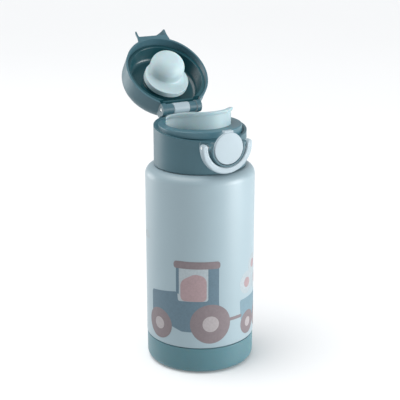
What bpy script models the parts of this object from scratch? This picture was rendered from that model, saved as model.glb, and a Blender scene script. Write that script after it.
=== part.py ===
"""Insulated children's drinking bottle with a screw-off collar, flip lid, push button and lock ring.

Frame: metres, +Z up, origin at the centre of the boot's underside. The button faces -Y, the lid's
hinge is at +Y, and the lid is modelled shut, then swung open about its hinge by a parent empty.
"""
import math

import bmesh
import bpy
from mathutils import Matrix, Vector

MM = 0.001
GAP = 0.3 * MM

# body and boot
BODY_RADIUS = 35.0 * MM
BOOT_RADIUS = 34.8 * MM
BOOT_HEIGHT = 17.3 * MM
BOOT_WALL = 1.3 * MM
BOOT_FLOOR = 2.0 * MM
SHELL_STEEL = 0.8 * MM
SHELL_FOOT_RADIUS = BOOT_RADIUS - BOOT_WALL - GAP
SHELL_FOOT_Z = BOOT_FLOOR + GAP
BASE_DISC_RADIUS = 28.5 * MM
SHOULDER_Z = 130.6 * MM
SHOULDER_FILLET = 6.0 * MM
FLASK_RADIUS = 31.6 * MM
FLASK_BOTTOM_Z = 9.0 * MM
FLASK_STEEL = 0.7 * MM
FLASK_BEND = 5.0 * MM
SHELL_FOOT_BEND = 3.4 * MM
BOOT_BEND = 4.6 * MM
BOOT_RECESS = 0.6 * MM
RECESS_INNER = 12.0 * MM
RECESS_OUTER = 26.0 * MM

# neck and its thread
NECK_RADIUS = 22.6 * MM
NECK_TOP_Z = 147.9 * MM
LIP_TOP_Z = 149.0 * MM
THREAD_LEAD = 4.0 * MM
THREAD_TURNS = 1.25
THREAD_HEIGHT = 1.0 * MM
THREAD_ROOT = 2.2 * MM
THREAD_CREST = 0.8 * MM
THREAD_START_Z = 136.5 * MM
GASKET_OUTER = 23.5 * MM
GASKET_INNER = 20.6 * MM
GASKET_TOP_Z = 150.9 * MM

# collar
COLLAR_RADIUS = 29.4 * MM
COLLAR_BORE = 27.8 * MM
COLLAR_FOOT_Z = 131.0 * MM
PARTING_Z = 154.7 * MM
PARTING_SLOPE = math.radians(5.7)
CORE_RADIUS = 25.6 * MM
CORE_BORE = 24.0 * MM
DECK_Z = 156.9 * MM
DECK_THICKNESS = 1.6 * MM
DECK_RADIUS = 26.5 * MM
DECK_HOLE = 21.1 * MM
CORE_LEDGE_Z = 152.4 * MM
CORE_RIB_LOW_Z = 148.6 * MM
CORE_RIB_HIGH_Z = 149.9 * MM
RETAINER_OUTER = 23.7 * MM
RETAINER_INNER = 16.6 * MM
RETAINER_LOW_Z = 151.2 * MM
RETAINER_TOP_Z = 152.7 * MM

# spout
SPOUT_RADIUS = 20.6 * MM
SPOUT_BORE = 18.9 * MM
SPOUT_LIP_RISE = 10.7 * MM
SPOUT_FLARE = 1.1 * MM
SPOUT_Y = 2.2 * MM
SPOUT_FLOOR_Z = 155.2 * MM
SPOUT_FOOT_Z = 153.0 * MM
SPOUT_SHOULDER_Z = 155.0 * MM
THROAT_FOOT_Z = 148.0 * MM
THROAT_CONE_Z = 150.5 * MM
VENT_Y = 16.0 * MM
VENT_RADIUS = 0.9 * MM
FLANGE_OF_SPOUT = 21.4 * MM
THROAT_RADIUS = 11.6 * MM
THROAT_OUTER = 13.4 * MM
STOPPER_Y = -2.0 * MM

# button, its housing and the lock ring
BUTTON_Z = 148.2 * MM
BUTTON_RADIUS = 10.0 * MM
BUTTON_FACE_Y = -36.1 * MM
BUTTON_BACK_Y = -34.4 * MM
HOUSING_BORE = 10.55 * MM
HOUSING_RADIUS = 11.6 * MM
HOUSING_FACE_Y = -35.6 * MM
POCKET_FLOOR_Y = -29.9 * MM
SPRING_Z = 142.2 * MM
SPRING_SEAT_Y = -27.4 * MM
SPRING_RADIUS = 2.3 * MM
SPRING_WIRE = 0.35 * MM
SEAT_RADIUS = 4.3 * MM
SEAT_ROOT_Y = -26.2 * MM
SEAT_FACE_Y = -29.0 * MM
WELL_RADIUS = 3.2 * MM
PIVOT_Y = -32.5 * MM
PIVOT_Z = 149.7 * MM
PIVOT_PIN_RADIUS = 1.0 * MM
PIVOT_PIN_HALF = 17.2 * MM
PAD_RADIUS = 2.1 * MM
PAD_END_X = 13.1 * MM
TAB_HALF = 3.0 * MM
TAB_LOW_Z = 157.3 * MM
TAB_TOP_Z = 159.1 * MM
LUG_NEAR_X = 4.0 * MM
LUG_FAR_X = 6.4 * MM
LUG_FRONT_Y = -34.9 * MM
LUG_HALF = 2.3 * MM
LUG_EYE = 2.35 * MM
STUD_RADIUS = 1.5 * MM
RING_RADIUS = 15.6 * MM
RING_HALF_WIDTH = 2.1 * MM
RING_DEPTH = 4.4 * MM
HOOD_Z = 148.9 * MM
HOOD_RADIUS = 11.4 * MM
HOOD_FACE_Y = -34.2 * MM
HOOD_FLARE = 0.25

# hinge and lid
HINGE_Y = 26.4 * MM
HINGE_Z = 161.7 * MM
HINGE_PIN_RADIUS = 1.1 * MM
HINGE_PIN_HALF = 13.9 * MM
SLEEVE_RADIUS = 3.55 * MM
SLEEVE_BORE = 2.65 * MM
HINGE_COIL_RADIUS = 1.95 * MM
HINGE_COIL_WIRE = 0.3 * MM
HINGE_COIL_HALF = 4.8 * MM
PILLAR_FOOT_Z = 153.0 * MM
PILLAR_INNER_Y = 25.0 * MM
KNUCKLE_RADIUS = 3.4 * MM
KNUCKLE_IN = 5.9 * MM
KNUCKLE_OUT = 10.6 * MM
EAR_RADIUS = 4.0 * MM
EAR_IN = 11.0 * MM
EAR_OUT = 14.2 * MM
LID_OPEN = math.radians(142.9)
LID_RADIUS = 28.2 * MM
LID_BORE = 26.9 * MM
LID_CORNER = 10.0 * MM
LID_TOP_Z = 175.4 * MM
LINER_RADIUS = 26.5 * MM
LINER_BOWL = 24.2 * MM
LINER_FOOT_Z = 157.6 * MM
LINER_CEILING_Z = 169.3 * MM
LINER_WALL = 1.2 * MM
LINER_CORNER = 4.0 * MM
BULKHEAD_HALF = 15.2 * MM
BULKHEAD_LOW_Z = 160.6 * MM
BULKHEAD_TOP_Z = 168.0 * MM
BULKHEAD_Y = 20.3 * MM
BULKHEAD_BACK_Y = 21.5 * MM
CATCH_HALF = 2.7 * MM
CATCH_LOW_Z = 157.1 * MM

# stopper, its holder and the screws
NOSE_RADIUS = 11.4 * MM
NOSE_CORNER = 8.4 * MM
NOSE_CORNER_Z = 152.9 * MM
NOSE_TIP_Z = 144.3 * MM
WAIST_FILLET = 2.9 * MM
BRIM_RADIUS = 14.9 * MM
BRIM_Y = 1.6 * MM
BRIM_THICKNESS = 4.0 * MM
SCREW_OFFSET = 9.2 * MM
SCREW_RADIUS = 1.1 * MM
SCREW_HEAD = 2.1 * MM
SCREW_END_Z = 172.2 * MM
SCREW_ROOM = 1.4 * MM
BOSS_RADIUS = 2.6 * MM
BOSS_TOP_Z = 173.2 * MM
HOLDER_PLATE_RADIUS = 12.5 * MM
HOLDER_WAIST = 6.2 * MM
HOLDER_FOOT_RADIUS = 10.5 * MM
HOLDER_PLATE_Z = 167.6 * MM
HOLDER_FOOT_Z = 163.2 * MM
HOLDER_STEM = 4.0 * MM
HOLDER_TIP_Z = 155.0 * MM

STEPS = 40
FINE_STEPS = 32

TEAL = (0.075, 0.155, 0.18)
DARK_TEAL = (0.05, 0.125, 0.145)
PALE_BLUE = (0.52, 0.66, 0.72)
BODY_BLUE = (0.42, 0.54, 0.59)
SILICONE = (0.38, 0.52, 0.56)
STEEL = (0.62, 0.62, 0.61)
BOOT_TEAL = (0.09, 0.19, 0.215)
OFF_WHITE = (0.75, 0.77, 0.76)
SPRING_GREY = (0.5, 0.5, 0.5)


def clear_scene():
    for item in list(bpy.data.objects):
        bpy.data.objects.remove(item, do_unlink=True)


def make_collection(name):
    collection = bpy.data.collections.new(name)
    bpy.context.scene.collection.children.link(collection)
    return collection


clear_scene()
PARTS = make_collection("kids_water_bottle")
CUTTERS = make_collection("cutters")


def finish_material(name, colour, roughness, metallic=0.0):
    material = bpy.data.materials.new(name)
    material.use_nodes = True
    shader = material.node_tree.nodes["Principled BSDF"]
    shader.inputs["Base Color"].default_value = (*colour, 1.0)
    shader.inputs["Roughness"].default_value = roughness
    shader.inputs["Metallic"].default_value = metallic
    return material


def new_object(name, mesh, collection):
    item = bpy.data.objects.new(name, mesh)
    collection.objects.link(item)
    if collection is CUTTERS:
        item.hide_render = True
        item.display_type = "WIRE"
    return item


def mesh_from(bm, name):
    mesh = bpy.data.meshes.new(name)
    bm.to_mesh(mesh)
    bm.free()
    return mesh


def arc(centre_r, centre_z, radius, start, end, count):
    """Points on an arc of a profile, angles in degrees from the outward direction."""
    points = []
    for i in range(count + 1):
        angle = math.radians(start + (end - start) * i / count)
        points.append((centre_r + radius * math.cos(angle), centre_z + radius * math.sin(angle)))
    return points


def turned(name, outline, steps=STEPS, closed=True):
    """A profile of (radius, height) points, running down its outer side, turned about Z."""
    bm = bmesh.new()
    verts = [bm.verts.new((r, 0.0, z)) for r, z in outline]
    for a, b in zip(verts, verts[1:]):
        bm.edges.new((a, b))
    if closed:
        bm.edges.new((verts[-1], verts[0]))
    item = new_object(name, mesh_from(bm, name), CUTTERS)
    screw = item.modifiers.new("turn", "SCREW")
    screw.axis = "Z"
    screw.steps = steps
    screw.render_steps = steps
    screw.use_merge_vertices = True
    screw.merge_threshold = 0.00001
    return item


def block(name, low, high):
    """A box between two corners."""
    low, high = Vector(low), Vector(high)
    bm = bmesh.new()
    size = high - low
    place = Matrix.Translation((low + high) / 2) @ Matrix.Diagonal((*size, 1.0))
    bmesh.ops.create_cube(bm, size=1.0, matrix=place)
    return new_object(name, mesh_from(bm, name), CUTTERS)


def rod(name, radius, start, end, sides=24):
    """A round bar between two points."""
    start, end = Vector(start), Vector(end)
    along = end - start
    turn = along.to_track_quat("Z", "Y").to_matrix().to_4x4()
    bm = bmesh.new()
    bmesh.ops.create_cone(bm, cap_ends=True, segments=sides, radius1=radius, radius2=radius,
                          depth=along.length, matrix=Matrix.Translation((start + end) / 2) @ turn)
    return new_object(name, mesh_from(bm, name), CUTTERS)


def cross_rod(name, radius, start_x, end_x, y, z, sides):
    """A round bar that runs across the bottle, along X."""
    return rod(name, radius, (start_x, y, z), (end_x, y, z), sides)


def point_forward(item, z):
    """Lays a turned shape down so that its +Z runs along -Y at height z."""
    item.rotation_euler = (math.radians(90), 0.0, 0.0)
    item.location = (0.0, 0.0, z)
    return item


def cut(item, *tools):
    apply_tools(item, tools, "DIFFERENCE")


def join(item, *tools):
    apply_tools(item, tools, "UNION")


def apply_tools(item, tools, operation):
    for tool in tools:
        boolean = item.modifiers.new(operation.lower() + "_" + tool.name, "BOOLEAN")
        boolean.operation = operation
        boolean.object = tool


def as_part(item, name, material):
    """Moves a shape from the cutters to the parts under its own name."""
    item.name = name
    if item.name not in PARTS.objects:
        CUTTERS.objects.unlink(item)
        PARTS.objects.link(item)
    item.hide_render = False
    item.display_type = "TEXTURED"
    item.data.materials.append(material)
    item.data.shade_smooth()
    item.data.set_sharp_from_angle(angle=math.radians(35))
    return item


def tube_along(name, points, radius, resolution):
    """A curve through points, turned into a mesh with welded end caps."""
    curve = bpy.data.curves.new(name, "CURVE")
    curve.dimensions = "3D"
    curve.bevel_depth = radius
    curve.bevel_resolution = resolution
    curve.use_fill_caps = True
    spline = curve.splines.new("POLY")
    spline.points.add(len(points) - 1)
    for target, point in zip(spline.points, points):
        target.co = (*point, 1.0)
    guide = new_object(name + "_guide", curve, CUTTERS)
    bpy.context.view_layer.update()
    graph = bpy.context.evaluated_depsgraph_get()
    mesh = bpy.data.meshes.new_from_object(guide.evaluated_get(graph))
    bm = bmesh.new()
    bm.from_mesh(mesh)
    bmesh.ops.remove_doubles(bm, verts=bm.verts, dist=0.00001)
    bm.to_mesh(mesh)
    bm.free()
    item = new_object(name, mesh, CUTTERS)
    item.matrix_world = guide.matrix_world.copy()
    bpy.data.objects.remove(guide, do_unlink=True)
    return item


def thread_ridge(name, root_radius, crest_radius, start_z):
    """A helical ridge of trapezoid section that tapers away at both ends."""
    turns = THREAD_TURNS
    count = int(turns * STEPS)
    sink = 0.3 * MM if crest_radius > root_radius else -0.3 * MM
    bm = bmesh.new()
    rings = []
    for i in range(count + 1):
        share = i / count
        angle = 2 * math.pi * turns * share
        height = min(1.0, 8 * share + 0.02, 8 * (1 - share) + 0.02)
        crest = root_radius + (crest_radius - root_radius) * height
        middle = start_z + THREAD_LEAD * turns * share
        section = [
            (root_radius - sink, THREAD_ROOT / 2),
            (crest, THREAD_CREST / 2),
            (crest, -THREAD_CREST / 2),
            (root_radius - sink, -THREAD_ROOT / 2),
        ]
        rings.append([
            bm.verts.new((r * math.cos(angle), r * math.sin(angle), middle + dz)) for r, dz in section
        ])
    for a, b in zip(rings, rings[1:]):
        for k in range(4):
            bm.faces.new((a[k], a[(k + 1) % 4], b[(k + 1) % 4], b[k]))
    bm.faces.new(rings[0][::-1])
    bm.faces.new(rings[-1])
    bmesh.ops.recalc_face_normals(bm, faces=bm.faces)
    return new_object(name, mesh_from(bm, name), CUTTERS)


def coil_points(radius, length, turns, per_turn, place):
    """Points of a coil along local Z, with its end turns closed up, placed by a matrix."""
    points = []
    count = turns * per_turn
    for i in range(count + 1):
        share = i / count
        angle = 2 * math.pi * turns * share
        points.append(place @ Vector((radius * math.cos(angle), radius * math.sin(angle), length * share)))
    return points


def make_bottle_outer_shell(material):
    foot = SHELL_FOOT_RADIUS
    inner = BODY_RADIUS - SHELL_STEEL
    inner_foot = foot - SHELL_STEEL
    inner_neck = NECK_RADIUS - SHELL_STEEL
    fillet = SHOULDER_FILLET
    inner_fillet = fillet - SHELL_STEEL
    centre_r = BODY_RADIUS - fillet
    centre_z = SHOULDER_Z - fillet
    outline = [(NECK_RADIUS, NECK_TOP_Z), (NECK_RADIUS, SHOULDER_Z + 0.2 * MM), (centre_r, SHOULDER_Z)]
    outline += arc(centre_r, centre_z, fillet, 75, 0, 5)
    outline += [(BODY_RADIUS, BOOT_HEIGHT + 1.1 * MM), (BODY_RADIUS - 0.5 * MM, BOOT_HEIGHT + GAP)]
    outline += [(foot, BOOT_HEIGHT + GAP)]
    bend = SHELL_FOOT_BEND
    outline += arc(foot - bend, SHELL_FOOT_Z + bend, bend, 0, -90, 3)
    outline += [(BASE_DISC_RADIUS + GAP, SHELL_FOOT_Z), (BASE_DISC_RADIUS + GAP, SHELL_FOOT_Z + SHELL_STEEL)]
    outline += arc(foot - bend, SHELL_FOOT_Z + bend, bend - SHELL_STEEL, -90, 0, 2)
    outline += [(inner_foot, BOOT_HEIGHT + 1.5 * MM), (inner, BOOT_HEIGHT + 2.6 * MM)]
    outline += arc(centre_r, centre_z, inner_fillet, 0, 75, 3)
    outline += [(inner_neck, SHOULDER_Z - SHELL_STEEL + 0.2 * MM), (inner_neck, NECK_TOP_Z)]
    shell = turned("shell_turning", outline)
    thread = thread_ridge("neck_thread", NECK_RADIUS, NECK_RADIUS + THREAD_HEIGHT, THREAD_START_Z)
    join(shell, thread)
    return as_part(shell, "bottle_outer_shell", material)


def make_bottle_inner_flask(material):
    outer = FLASK_RADIUS
    wall = FLASK_STEEL
    neck = NECK_RADIUS - SHELL_STEEL - GAP
    bend = FLASK_BEND
    top_z = SHOULDER_Z - 3.4 * MM
    outline = [(NECK_RADIUS, LIP_TOP_Z), (NECK_RADIUS, NECK_TOP_Z + GAP), (neck, NECK_TOP_Z + GAP)]
    outline += [(neck, top_z + 1.0 * MM)]
    outline += arc(outer - bend, top_z - bend, bend, 80, 0, 3)
    outline += arc(outer - bend, FLASK_BOTTOM_Z + bend, bend, 0, -90, 3)
    outline += [(0.0, FLASK_BOTTOM_Z), (0.0, FLASK_BOTTOM_Z + wall)]
    outline += arc(outer - bend, FLASK_BOTTOM_Z + bend, bend - wall, -90, 0, 3)
    outline += arc(outer - bend, top_z - bend, bend - wall, 0, 80, 3)
    outline += [(neck - wall, top_z + 0.3 * MM), (neck - wall, LIP_TOP_Z)]
    flask = turned("flask_turning", outline, steps=FINE_STEPS)
    return as_part(flask, "bottle_inner_flask", material)


def make_base_disc(material):
    top = SHELL_FOOT_Z + SHELL_STEEL
    outline = [
        (0.0, top + 0.4 * MM), (18.0 * MM, top + 0.4 * MM), (20.0 * MM, top), (BASE_DISC_RADIUS, top),
        (BASE_DISC_RADIUS, SHELL_FOOT_Z), (0.0, SHELL_FOOT_Z),
    ]
    return as_part(turned("disc_turning", outline, FINE_STEPS, closed=False), "base_disc", material)


def make_boot(material):
    inner = BOOT_RADIUS - BOOT_WALL
    bend = BOOT_BEND
    inner_bend = bend - 0.9 * MM
    outline = [(BOOT_RADIUS - 0.3 * MM, BOOT_HEIGHT), (BOOT_RADIUS, BOOT_HEIGHT - 0.5 * MM)]
    outline += arc(BOOT_RADIUS - bend, bend, bend, 0, -90, 4)
    outline += [(RECESS_OUTER, 0.0), (RECESS_OUTER - BOOT_RECESS, BOOT_RECESS)]
    outline += [(RECESS_INNER + BOOT_RECESS, BOOT_RECESS), (RECESS_INNER, 0.0)]
    outline += [(0.0, 0.0), (0.0, BOOT_FLOOR)]
    outline += arc(inner - inner_bend, BOOT_FLOOR + inner_bend, inner_bend, -90, 0, 3)
    outline += [(inner, BOOT_HEIGHT)]
    return as_part(turned("boot_turning", outline), "silicone_boot", material)


def parting_tool(name, below, rise=0.0):
    """A large slab on one side of the sloping plane between collar and lid."""
    reach = 80 * MM
    low, high = ((-reach, -reach, -reach), (reach, reach, 0.0))
    if not below:
        low, high = ((-reach, -reach, 0.0), (reach, reach, reach))
    slab = block(name, low, high)
    slab.location = (0.0, 0.0, PARTING_Z + rise)
    slab.rotation_euler = (PARTING_SLOPE, 0.0, 0.0)
    return slab


def housing_turning(name, radius, z, face_y, flare=1.0):
    """The round housing about the button: straight at its face and flared where it meets the collar."""
    reach = -face_y
    outline = [
        (0.0, reach), (radius - 0.5 * MM, reach), (radius, reach - 0.5 * MM), (radius, 31.2 * MM),
        (radius + flare * 0.2 * MM, 30.3 * MM), (radius + flare * 0.8 * MM, 29.2 * MM),
        (radius + flare * 1.8 * MM, 28.0 * MM), (radius + flare * 3.2 * MM, 26.4 * MM),
        (radius + flare * 3.2 * MM, 20.0 * MM), (0.0, 20.0 * MM),
    ]
    return point_forward(turned(name, outline, steps=28, closed=False), z)


def make_collar_shell(material):
    body = [
        (0.0, 168.0 * MM), (COLLAR_RADIUS, 168.0 * MM), (COLLAR_RADIUS, COLLAR_FOOT_Z + 0.5 * MM),
        (COLLAR_RADIUS - 0.5 * MM, COLLAR_FOOT_Z), (0.0, COLLAR_FOOT_Z),
    ]
    shell = turned("collar_turning", body, closed=False)
    pads = cross_rod("pivot_pads", PAD_RADIUS, -PAD_END_X, PAD_END_X, PIVOT_Y, PIVOT_Z, 20)
    join(shell, housing_turning("housing", HOUSING_RADIUS, BUTTON_Z, HOUSING_FACE_Y), pads)
    cut(shell, parting_tool("above_parting", below=False))

    rib = CORE_RADIUS + GAP
    inside = [
        (0.0, 180 * MM), (COLLAR_BORE, 180 * MM), (COLLAR_BORE, CORE_RIB_HIGH_Z), (rib, CORE_RIB_HIGH_Z),
        (rib, CORE_RIB_LOW_Z), (COLLAR_BORE, CORE_RIB_LOW_Z), (COLLAR_BORE, 120 * MM), (0.0, 120 * MM),
    ]
    cut(shell, turned("collar_inside", inside, closed=False))

    seat = rod("spring_seat", SEAT_RADIUS, (0, SEAT_ROOT_Y, SPRING_Z), (0, SEAT_FACE_Y, SPRING_Z))
    join(shell, seat)
    bore = rod("button_bore", HOUSING_BORE, (0, POCKET_FLOOR_Y, BUTTON_Z), (0, -40 * MM, BUTTON_Z), 32)
    well = rod("spring_well", WELL_RADIUS, (0, SPRING_SEAT_Y, SPRING_Z), (0, -31 * MM, SPRING_Z))
    pin_hole = cross_rod("pivot_hole", PIVOT_PIN_RADIUS + GAP, -20 * MM, 20 * MM, PIVOT_Y, PIVOT_Z, 20)
    join(bore, well, pin_hole)
    cut(shell, bore)

    hinge_tools = []
    wall_middle = COLLAR_RADIUS - 0.4 * MM
    for side, label in ((-1, "left"), (1, "right")):
        inner, outer = side * KNUCKLE_IN, side * KNUCKLE_OUT
        low, high = sorted((inner, outer))
        pillar = block("pillar_" + label, (low + GAP / 2, PILLAR_INNER_Y, PILLAR_FOOT_Z),
                       (high - GAP / 2, HINGE_Y + 3.2 * MM, HINGE_Z - 0.4 * MM))
        clear_core = rod("core_room_" + label, 26.9 * MM, (0, 0, 150 * MM), (0, 0, 157.3 * MM), 48)
        clear_wall = turned("wall_room_" + label, [
            (36 * MM, 170 * MM), (36 * MM, 140 * MM), (wall_middle, 140 * MM), (wall_middle, 170 * MM)])
        knuckle = cross_rod("knuckle_" + label, KNUCKLE_RADIUS, inner, outer, HINGE_Y, HINGE_Z, 28)
        cut(pillar, clear_core, clear_wall)
        hinge_tools += [pillar, knuckle]
    join(shell, *hinge_tools)
    cut(shell, hinge_hole("collar_hinge_hole"))
    return as_part(shell, "collar_shell", material)


def hinge_hole(name):
    return cross_rod(name, HINGE_PIN_RADIUS + GAP, -20 * MM, 20 * MM, HINGE_Y, HINGE_Z, 20)


def make_collar_core(material):
    deck_under = DECK_Z - DECK_THICKNESS
    foot_z = COLLAR_FOOT_Z + 0.5 * MM
    outline = [
        (DECK_RADIUS - 0.5 * MM, DECK_Z), (DECK_RADIUS, DECK_Z - 0.5 * MM),
        (DECK_RADIUS, CORE_LEDGE_Z + 0.5 * MM), (CORE_RADIUS, CORE_LEDGE_Z), (CORE_RADIUS, foot_z),
        (CORE_BORE, foot_z), (CORE_BORE, deck_under), (0.0, deck_under), (0.0, DECK_Z),
    ]
    core = turned("core_turning", outline)
    hole = rod("deck_hole", DECK_HOLE, (0, SPOUT_Y, 150 * MM), (0, SPOUT_Y, 160 * MM), STEPS)
    cut(core, hole)
    crest = NECK_RADIUS + 0.4 * MM
    thread = thread_ridge("cap_thread", CORE_BORE, crest, THREAD_START_Z - THREAD_LEAD / 2)
    join(core, thread)
    return as_part(core, "collar_core", material)


def make_neck_gasket(material):
    low, high = LIP_TOP_Z + GAP, GASKET_TOP_Z
    outer, inner, edge = GASKET_OUTER, GASKET_INNER, 0.3 * MM
    outline = [
        (outer - edge, high), (outer, high - edge), (outer, low + edge), (outer - edge, low),
        (inner + edge, low), (inner, low + edge), (inner, high - edge), (inner + edge, high),
    ]
    return as_part(turned("gasket_turning", outline, FINE_STEPS), "neck_gasket", material)


def make_spout_retainer(material):
    outline = [(RETAINER_OUTER, RETAINER_TOP_Z), (RETAINER_OUTER, RETAINER_LOW_Z),
               (RETAINER_INNER, RETAINER_LOW_Z), (RETAINER_INNER, RETAINER_TOP_Z)]
    return as_part(turned("retainer_turning", outline, FINE_STEPS), "spout_retainer", material)


def spout_rise(forward):
    """Height of the rim over the deck for a direction: 1 is straight ahead, -1 towards the hinge."""
    share = max(0.0, (forward + 0.5) / 1.5)
    return 0.3 * MM + SPOUT_LIP_RISE * math.sin(share * math.pi / 2) ** 0.75


def spout_section(forward):
    """Profile of the spout at one direction: flange, wall, rolled lip, bowl, floor and throat."""
    rise = spout_rise(forward)
    lip = min(1.0, max(0.0, (rise - 2.0 * MM) / (5.0 * MM)))
    flare = SPOUT_FLARE * lip
    rim = DECK_Z + rise
    band = 0.4 * MM + 1.9 * MM * lip
    return [
        (FLANGE_OF_SPOUT, SPOUT_SHOULDER_Z, 0), (FLANGE_OF_SPOUT, SPOUT_FOOT_Z, 0),
        (THROAT_OUTER, SPOUT_FOOT_Z, 1), (THROAT_OUTER, THROAT_FOOT_Z, 1),
        (THROAT_RADIUS, THROAT_FOOT_Z, 1), (THROAT_RADIUS, THROAT_CONE_Z, 1),
        (THROAT_RADIUS + 1.5 * MM, SPOUT_FLOOR_Z, 1), (SPOUT_BORE - 0.8 * MM, SPOUT_FLOOR_Z, 0),
        (SPOUT_BORE, SPOUT_FLOOR_Z + 0.7 * MM, 0), (SPOUT_BORE, rim - 0.8 * band, 0),
        (SPOUT_BORE + 0.4 * flare, rim - 0.2 * MM, 0), (SPOUT_RADIUS - 0.7 * MM + 0.8 * flare, rim, 0),
        (SPOUT_RADIUS + flare, rim - 0.35 * MM, 0), (SPOUT_RADIUS + 0.55 * flare, rim - band, 0),
        (SPOUT_RADIUS, rim - band - 0.1 * MM, 0), (SPOUT_RADIUS, SPOUT_SHOULDER_Z, 0),
    ]


def make_drinking_spout(material):
    bm = bmesh.new()
    rings = []
    for i in range(STEPS):
        angle = 2 * math.pi * i / STEPS
        ring = []
        for radius, z, throat in spout_section(-math.sin(angle)):
            shift = STOPPER_Y if throat else SPOUT_Y
            ring.append(bm.verts.new((radius * math.cos(angle), radius * math.sin(angle) + shift, z)))
        rings.append(ring)
    count = len(rings[0])
    for i in range(STEPS):
        here, there = rings[i], rings[(i + 1) % STEPS]
        for k in range(count):
            bm.faces.new((here[k], here[(k + 1) % count], there[(k + 1) % count], there[k]))
    bmesh.ops.recalc_face_normals(bm, faces=bm.faces)
    spout = new_object("spout_loft", mesh_from(bm, "spout_loft"), CUTTERS)
    vent = rod("vent_hole", VENT_RADIUS, (0, VENT_Y, 150 * MM), (0, VENT_Y, 160 * MM), 12)
    cut(spout, vent)
    return as_part(spout, "drinking_spout", material)


def ring_outline():
    """The lock ring seen from the front: a half round band with two short round-ended arms."""
    inner, outer = RING_RADIUS - RING_HALF_WIDTH, RING_RADIUS + RING_HALF_WIDTH
    points = arc(0.0, 0.0, outer, 180, 360, 16)
    points += arc(RING_RADIUS, 0.0, RING_HALF_WIDTH, 30, 150, 4)
    points += arc(0.0, 0.0, inner, 360, 180, 12)
    points += arc(-RING_RADIUS, 0.0, RING_HALF_WIDTH, 30, 150, 4)
    return points


def make_lock_ring(material):
    bm = bmesh.new()
    verts = [bm.verts.new((x, -RING_DEPTH / 2, z)) for x, z in ring_outline()]
    face = bm.faces.new(verts)
    raised = bmesh.ops.extrude_face_region(bm, geom=[face])["geom"]
    moved = [v for v in raised if isinstance(v, bmesh.types.BMVert)]
    bmesh.ops.translate(bm, verts=moved, vec=(0.0, RING_DEPTH, 0.0))
    bmesh.ops.recalc_face_normals(bm, faces=bm.faces)
    ring = new_object("ring_band", mesh_from(bm, "ring_band"), CUTTERS)
    ring.location = (0.0, PIVOT_Y, PIVOT_Z)
    soften = ring.modifiers.new("soften", "BEVEL")
    soften.width = 0.8 * MM
    soften.segments = 2
    soften.limit_method = "ANGLE"
    soften.angle_limit = math.radians(50)
    hole = cross_rod("ring_pin_hole", PIVOT_PIN_RADIUS + GAP, -20 * MM, 20 * MM, PIVOT_Y, PIVOT_Z, 20)
    cut(ring, hole)
    return as_part(ring, "lock_ring", material)


def make_release_button(material):
    depth = BUTTON_BACK_Y - BUTTON_FACE_Y
    disc = [
        (0.0, -BUTTON_FACE_Y), (BUTTON_RADIUS - 0.6 * MM, -BUTTON_FACE_Y),
        (BUTTON_RADIUS, -BUTTON_FACE_Y - 0.5 * MM), (BUTTON_RADIUS, -BUTTON_FACE_Y - depth),
        (0.0, -BUTTON_FACE_Y - depth),
    ]
    button = point_forward(turned("button_disc", disc, steps=28, closed=False), BUTTON_Z)
    tab = block("latch_tab", (-TAB_HALF, -35.7 * MM, TAB_LOW_Z), (TAB_HALF, -34.5 * MM, TAB_TOP_Z))
    nose = block("latch_nose", (-TAB_HALF, -35.0 * MM, TAB_LOW_Z + 1.0 * MM),
                 (TAB_HALF, -32.6 * MM, TAB_TOP_Z - 0.05 * MM))
    stud = rod("spring_stud", STUD_RADIUS, (0, -34.8 * MM, SPRING_Z), (0, -33.2 * MM, SPRING_Z), 16)
    join(button, tab, nose, stud)
    for side in (-1, 1):
        low, high = sorted((side * LUG_NEAR_X, side * LUG_FAR_X))
        lug = block("lug", (low, LUG_FRONT_Y, PIVOT_Z - LUG_HALF), (high, PIVOT_Y, PIVOT_Z + LUG_HALF))
        eye = cross_rod("lug_eye", LUG_EYE, low - 0.01 * MM, high + 0.01 * MM, PIVOT_Y, PIVOT_Z, 20)
        join(button, lug, eye)
    hole = cross_rod("button_pin_hole", PIVOT_PIN_RADIUS + GAP, -9 * MM, 9 * MM, PIVOT_Y, PIVOT_Z, 20)
    cut(button, hole)
    return as_part(button, "release_button", material)


def make_pins(material):
    pivot = cross_rod("pivot", PIVOT_PIN_RADIUS, -PIVOT_PIN_HALF, PIVOT_PIN_HALF, PIVOT_Y, PIVOT_Z, 20)
    as_part(pivot, "front_pivot_pin", material)
    hinge = cross_rod("hinge", HINGE_PIN_RADIUS, -HINGE_PIN_HALF, HINGE_PIN_HALF, HINGE_Y, HINGE_Z, 20)
    as_part(hinge, "hinge_pin", material)


def make_springs(material):
    length = abs(BUTTON_BACK_Y - SPRING_SEAT_Y) - 2 * (GAP + SPRING_WIRE)
    start = SPRING_SEAT_Y - GAP - SPRING_WIRE
    place = Matrix.Translation((0, start, SPRING_Z)) @ Matrix.Rotation(math.radians(90), 4, "X")
    points = coil_points(SPRING_RADIUS, length, 4, 12, place)
    as_part(tube_along("button_coil", points, SPRING_WIRE, 1), "button_spring", material)

    quarter = Matrix.Rotation(math.radians(90), 4, "Y")
    place = Matrix.Translation((-HINGE_COIL_HALF, HINGE_Y, HINGE_Z)) @ quarter
    points = coil_points(HINGE_COIL_RADIUS, 2 * HINGE_COIL_HALF, 6, 9, place)
    as_part(tube_along("hinge_coil", points, HINGE_COIL_WIRE, 1), "hinge_spring", material)


def make_hinge_sleeve(material):
    half = KNUCKLE_IN - GAP
    sleeve = cross_rod("sleeve", SLEEVE_RADIUS, -half, half, HINGE_Y, HINGE_Z, 28)
    cut(sleeve, cross_rod("sleeve_bore", SLEEVE_BORE, -9 * MM, 9 * MM, HINGE_Y, HINGE_Z, 20))
    return as_part(sleeve, "hinge_sleeve", material)


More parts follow.
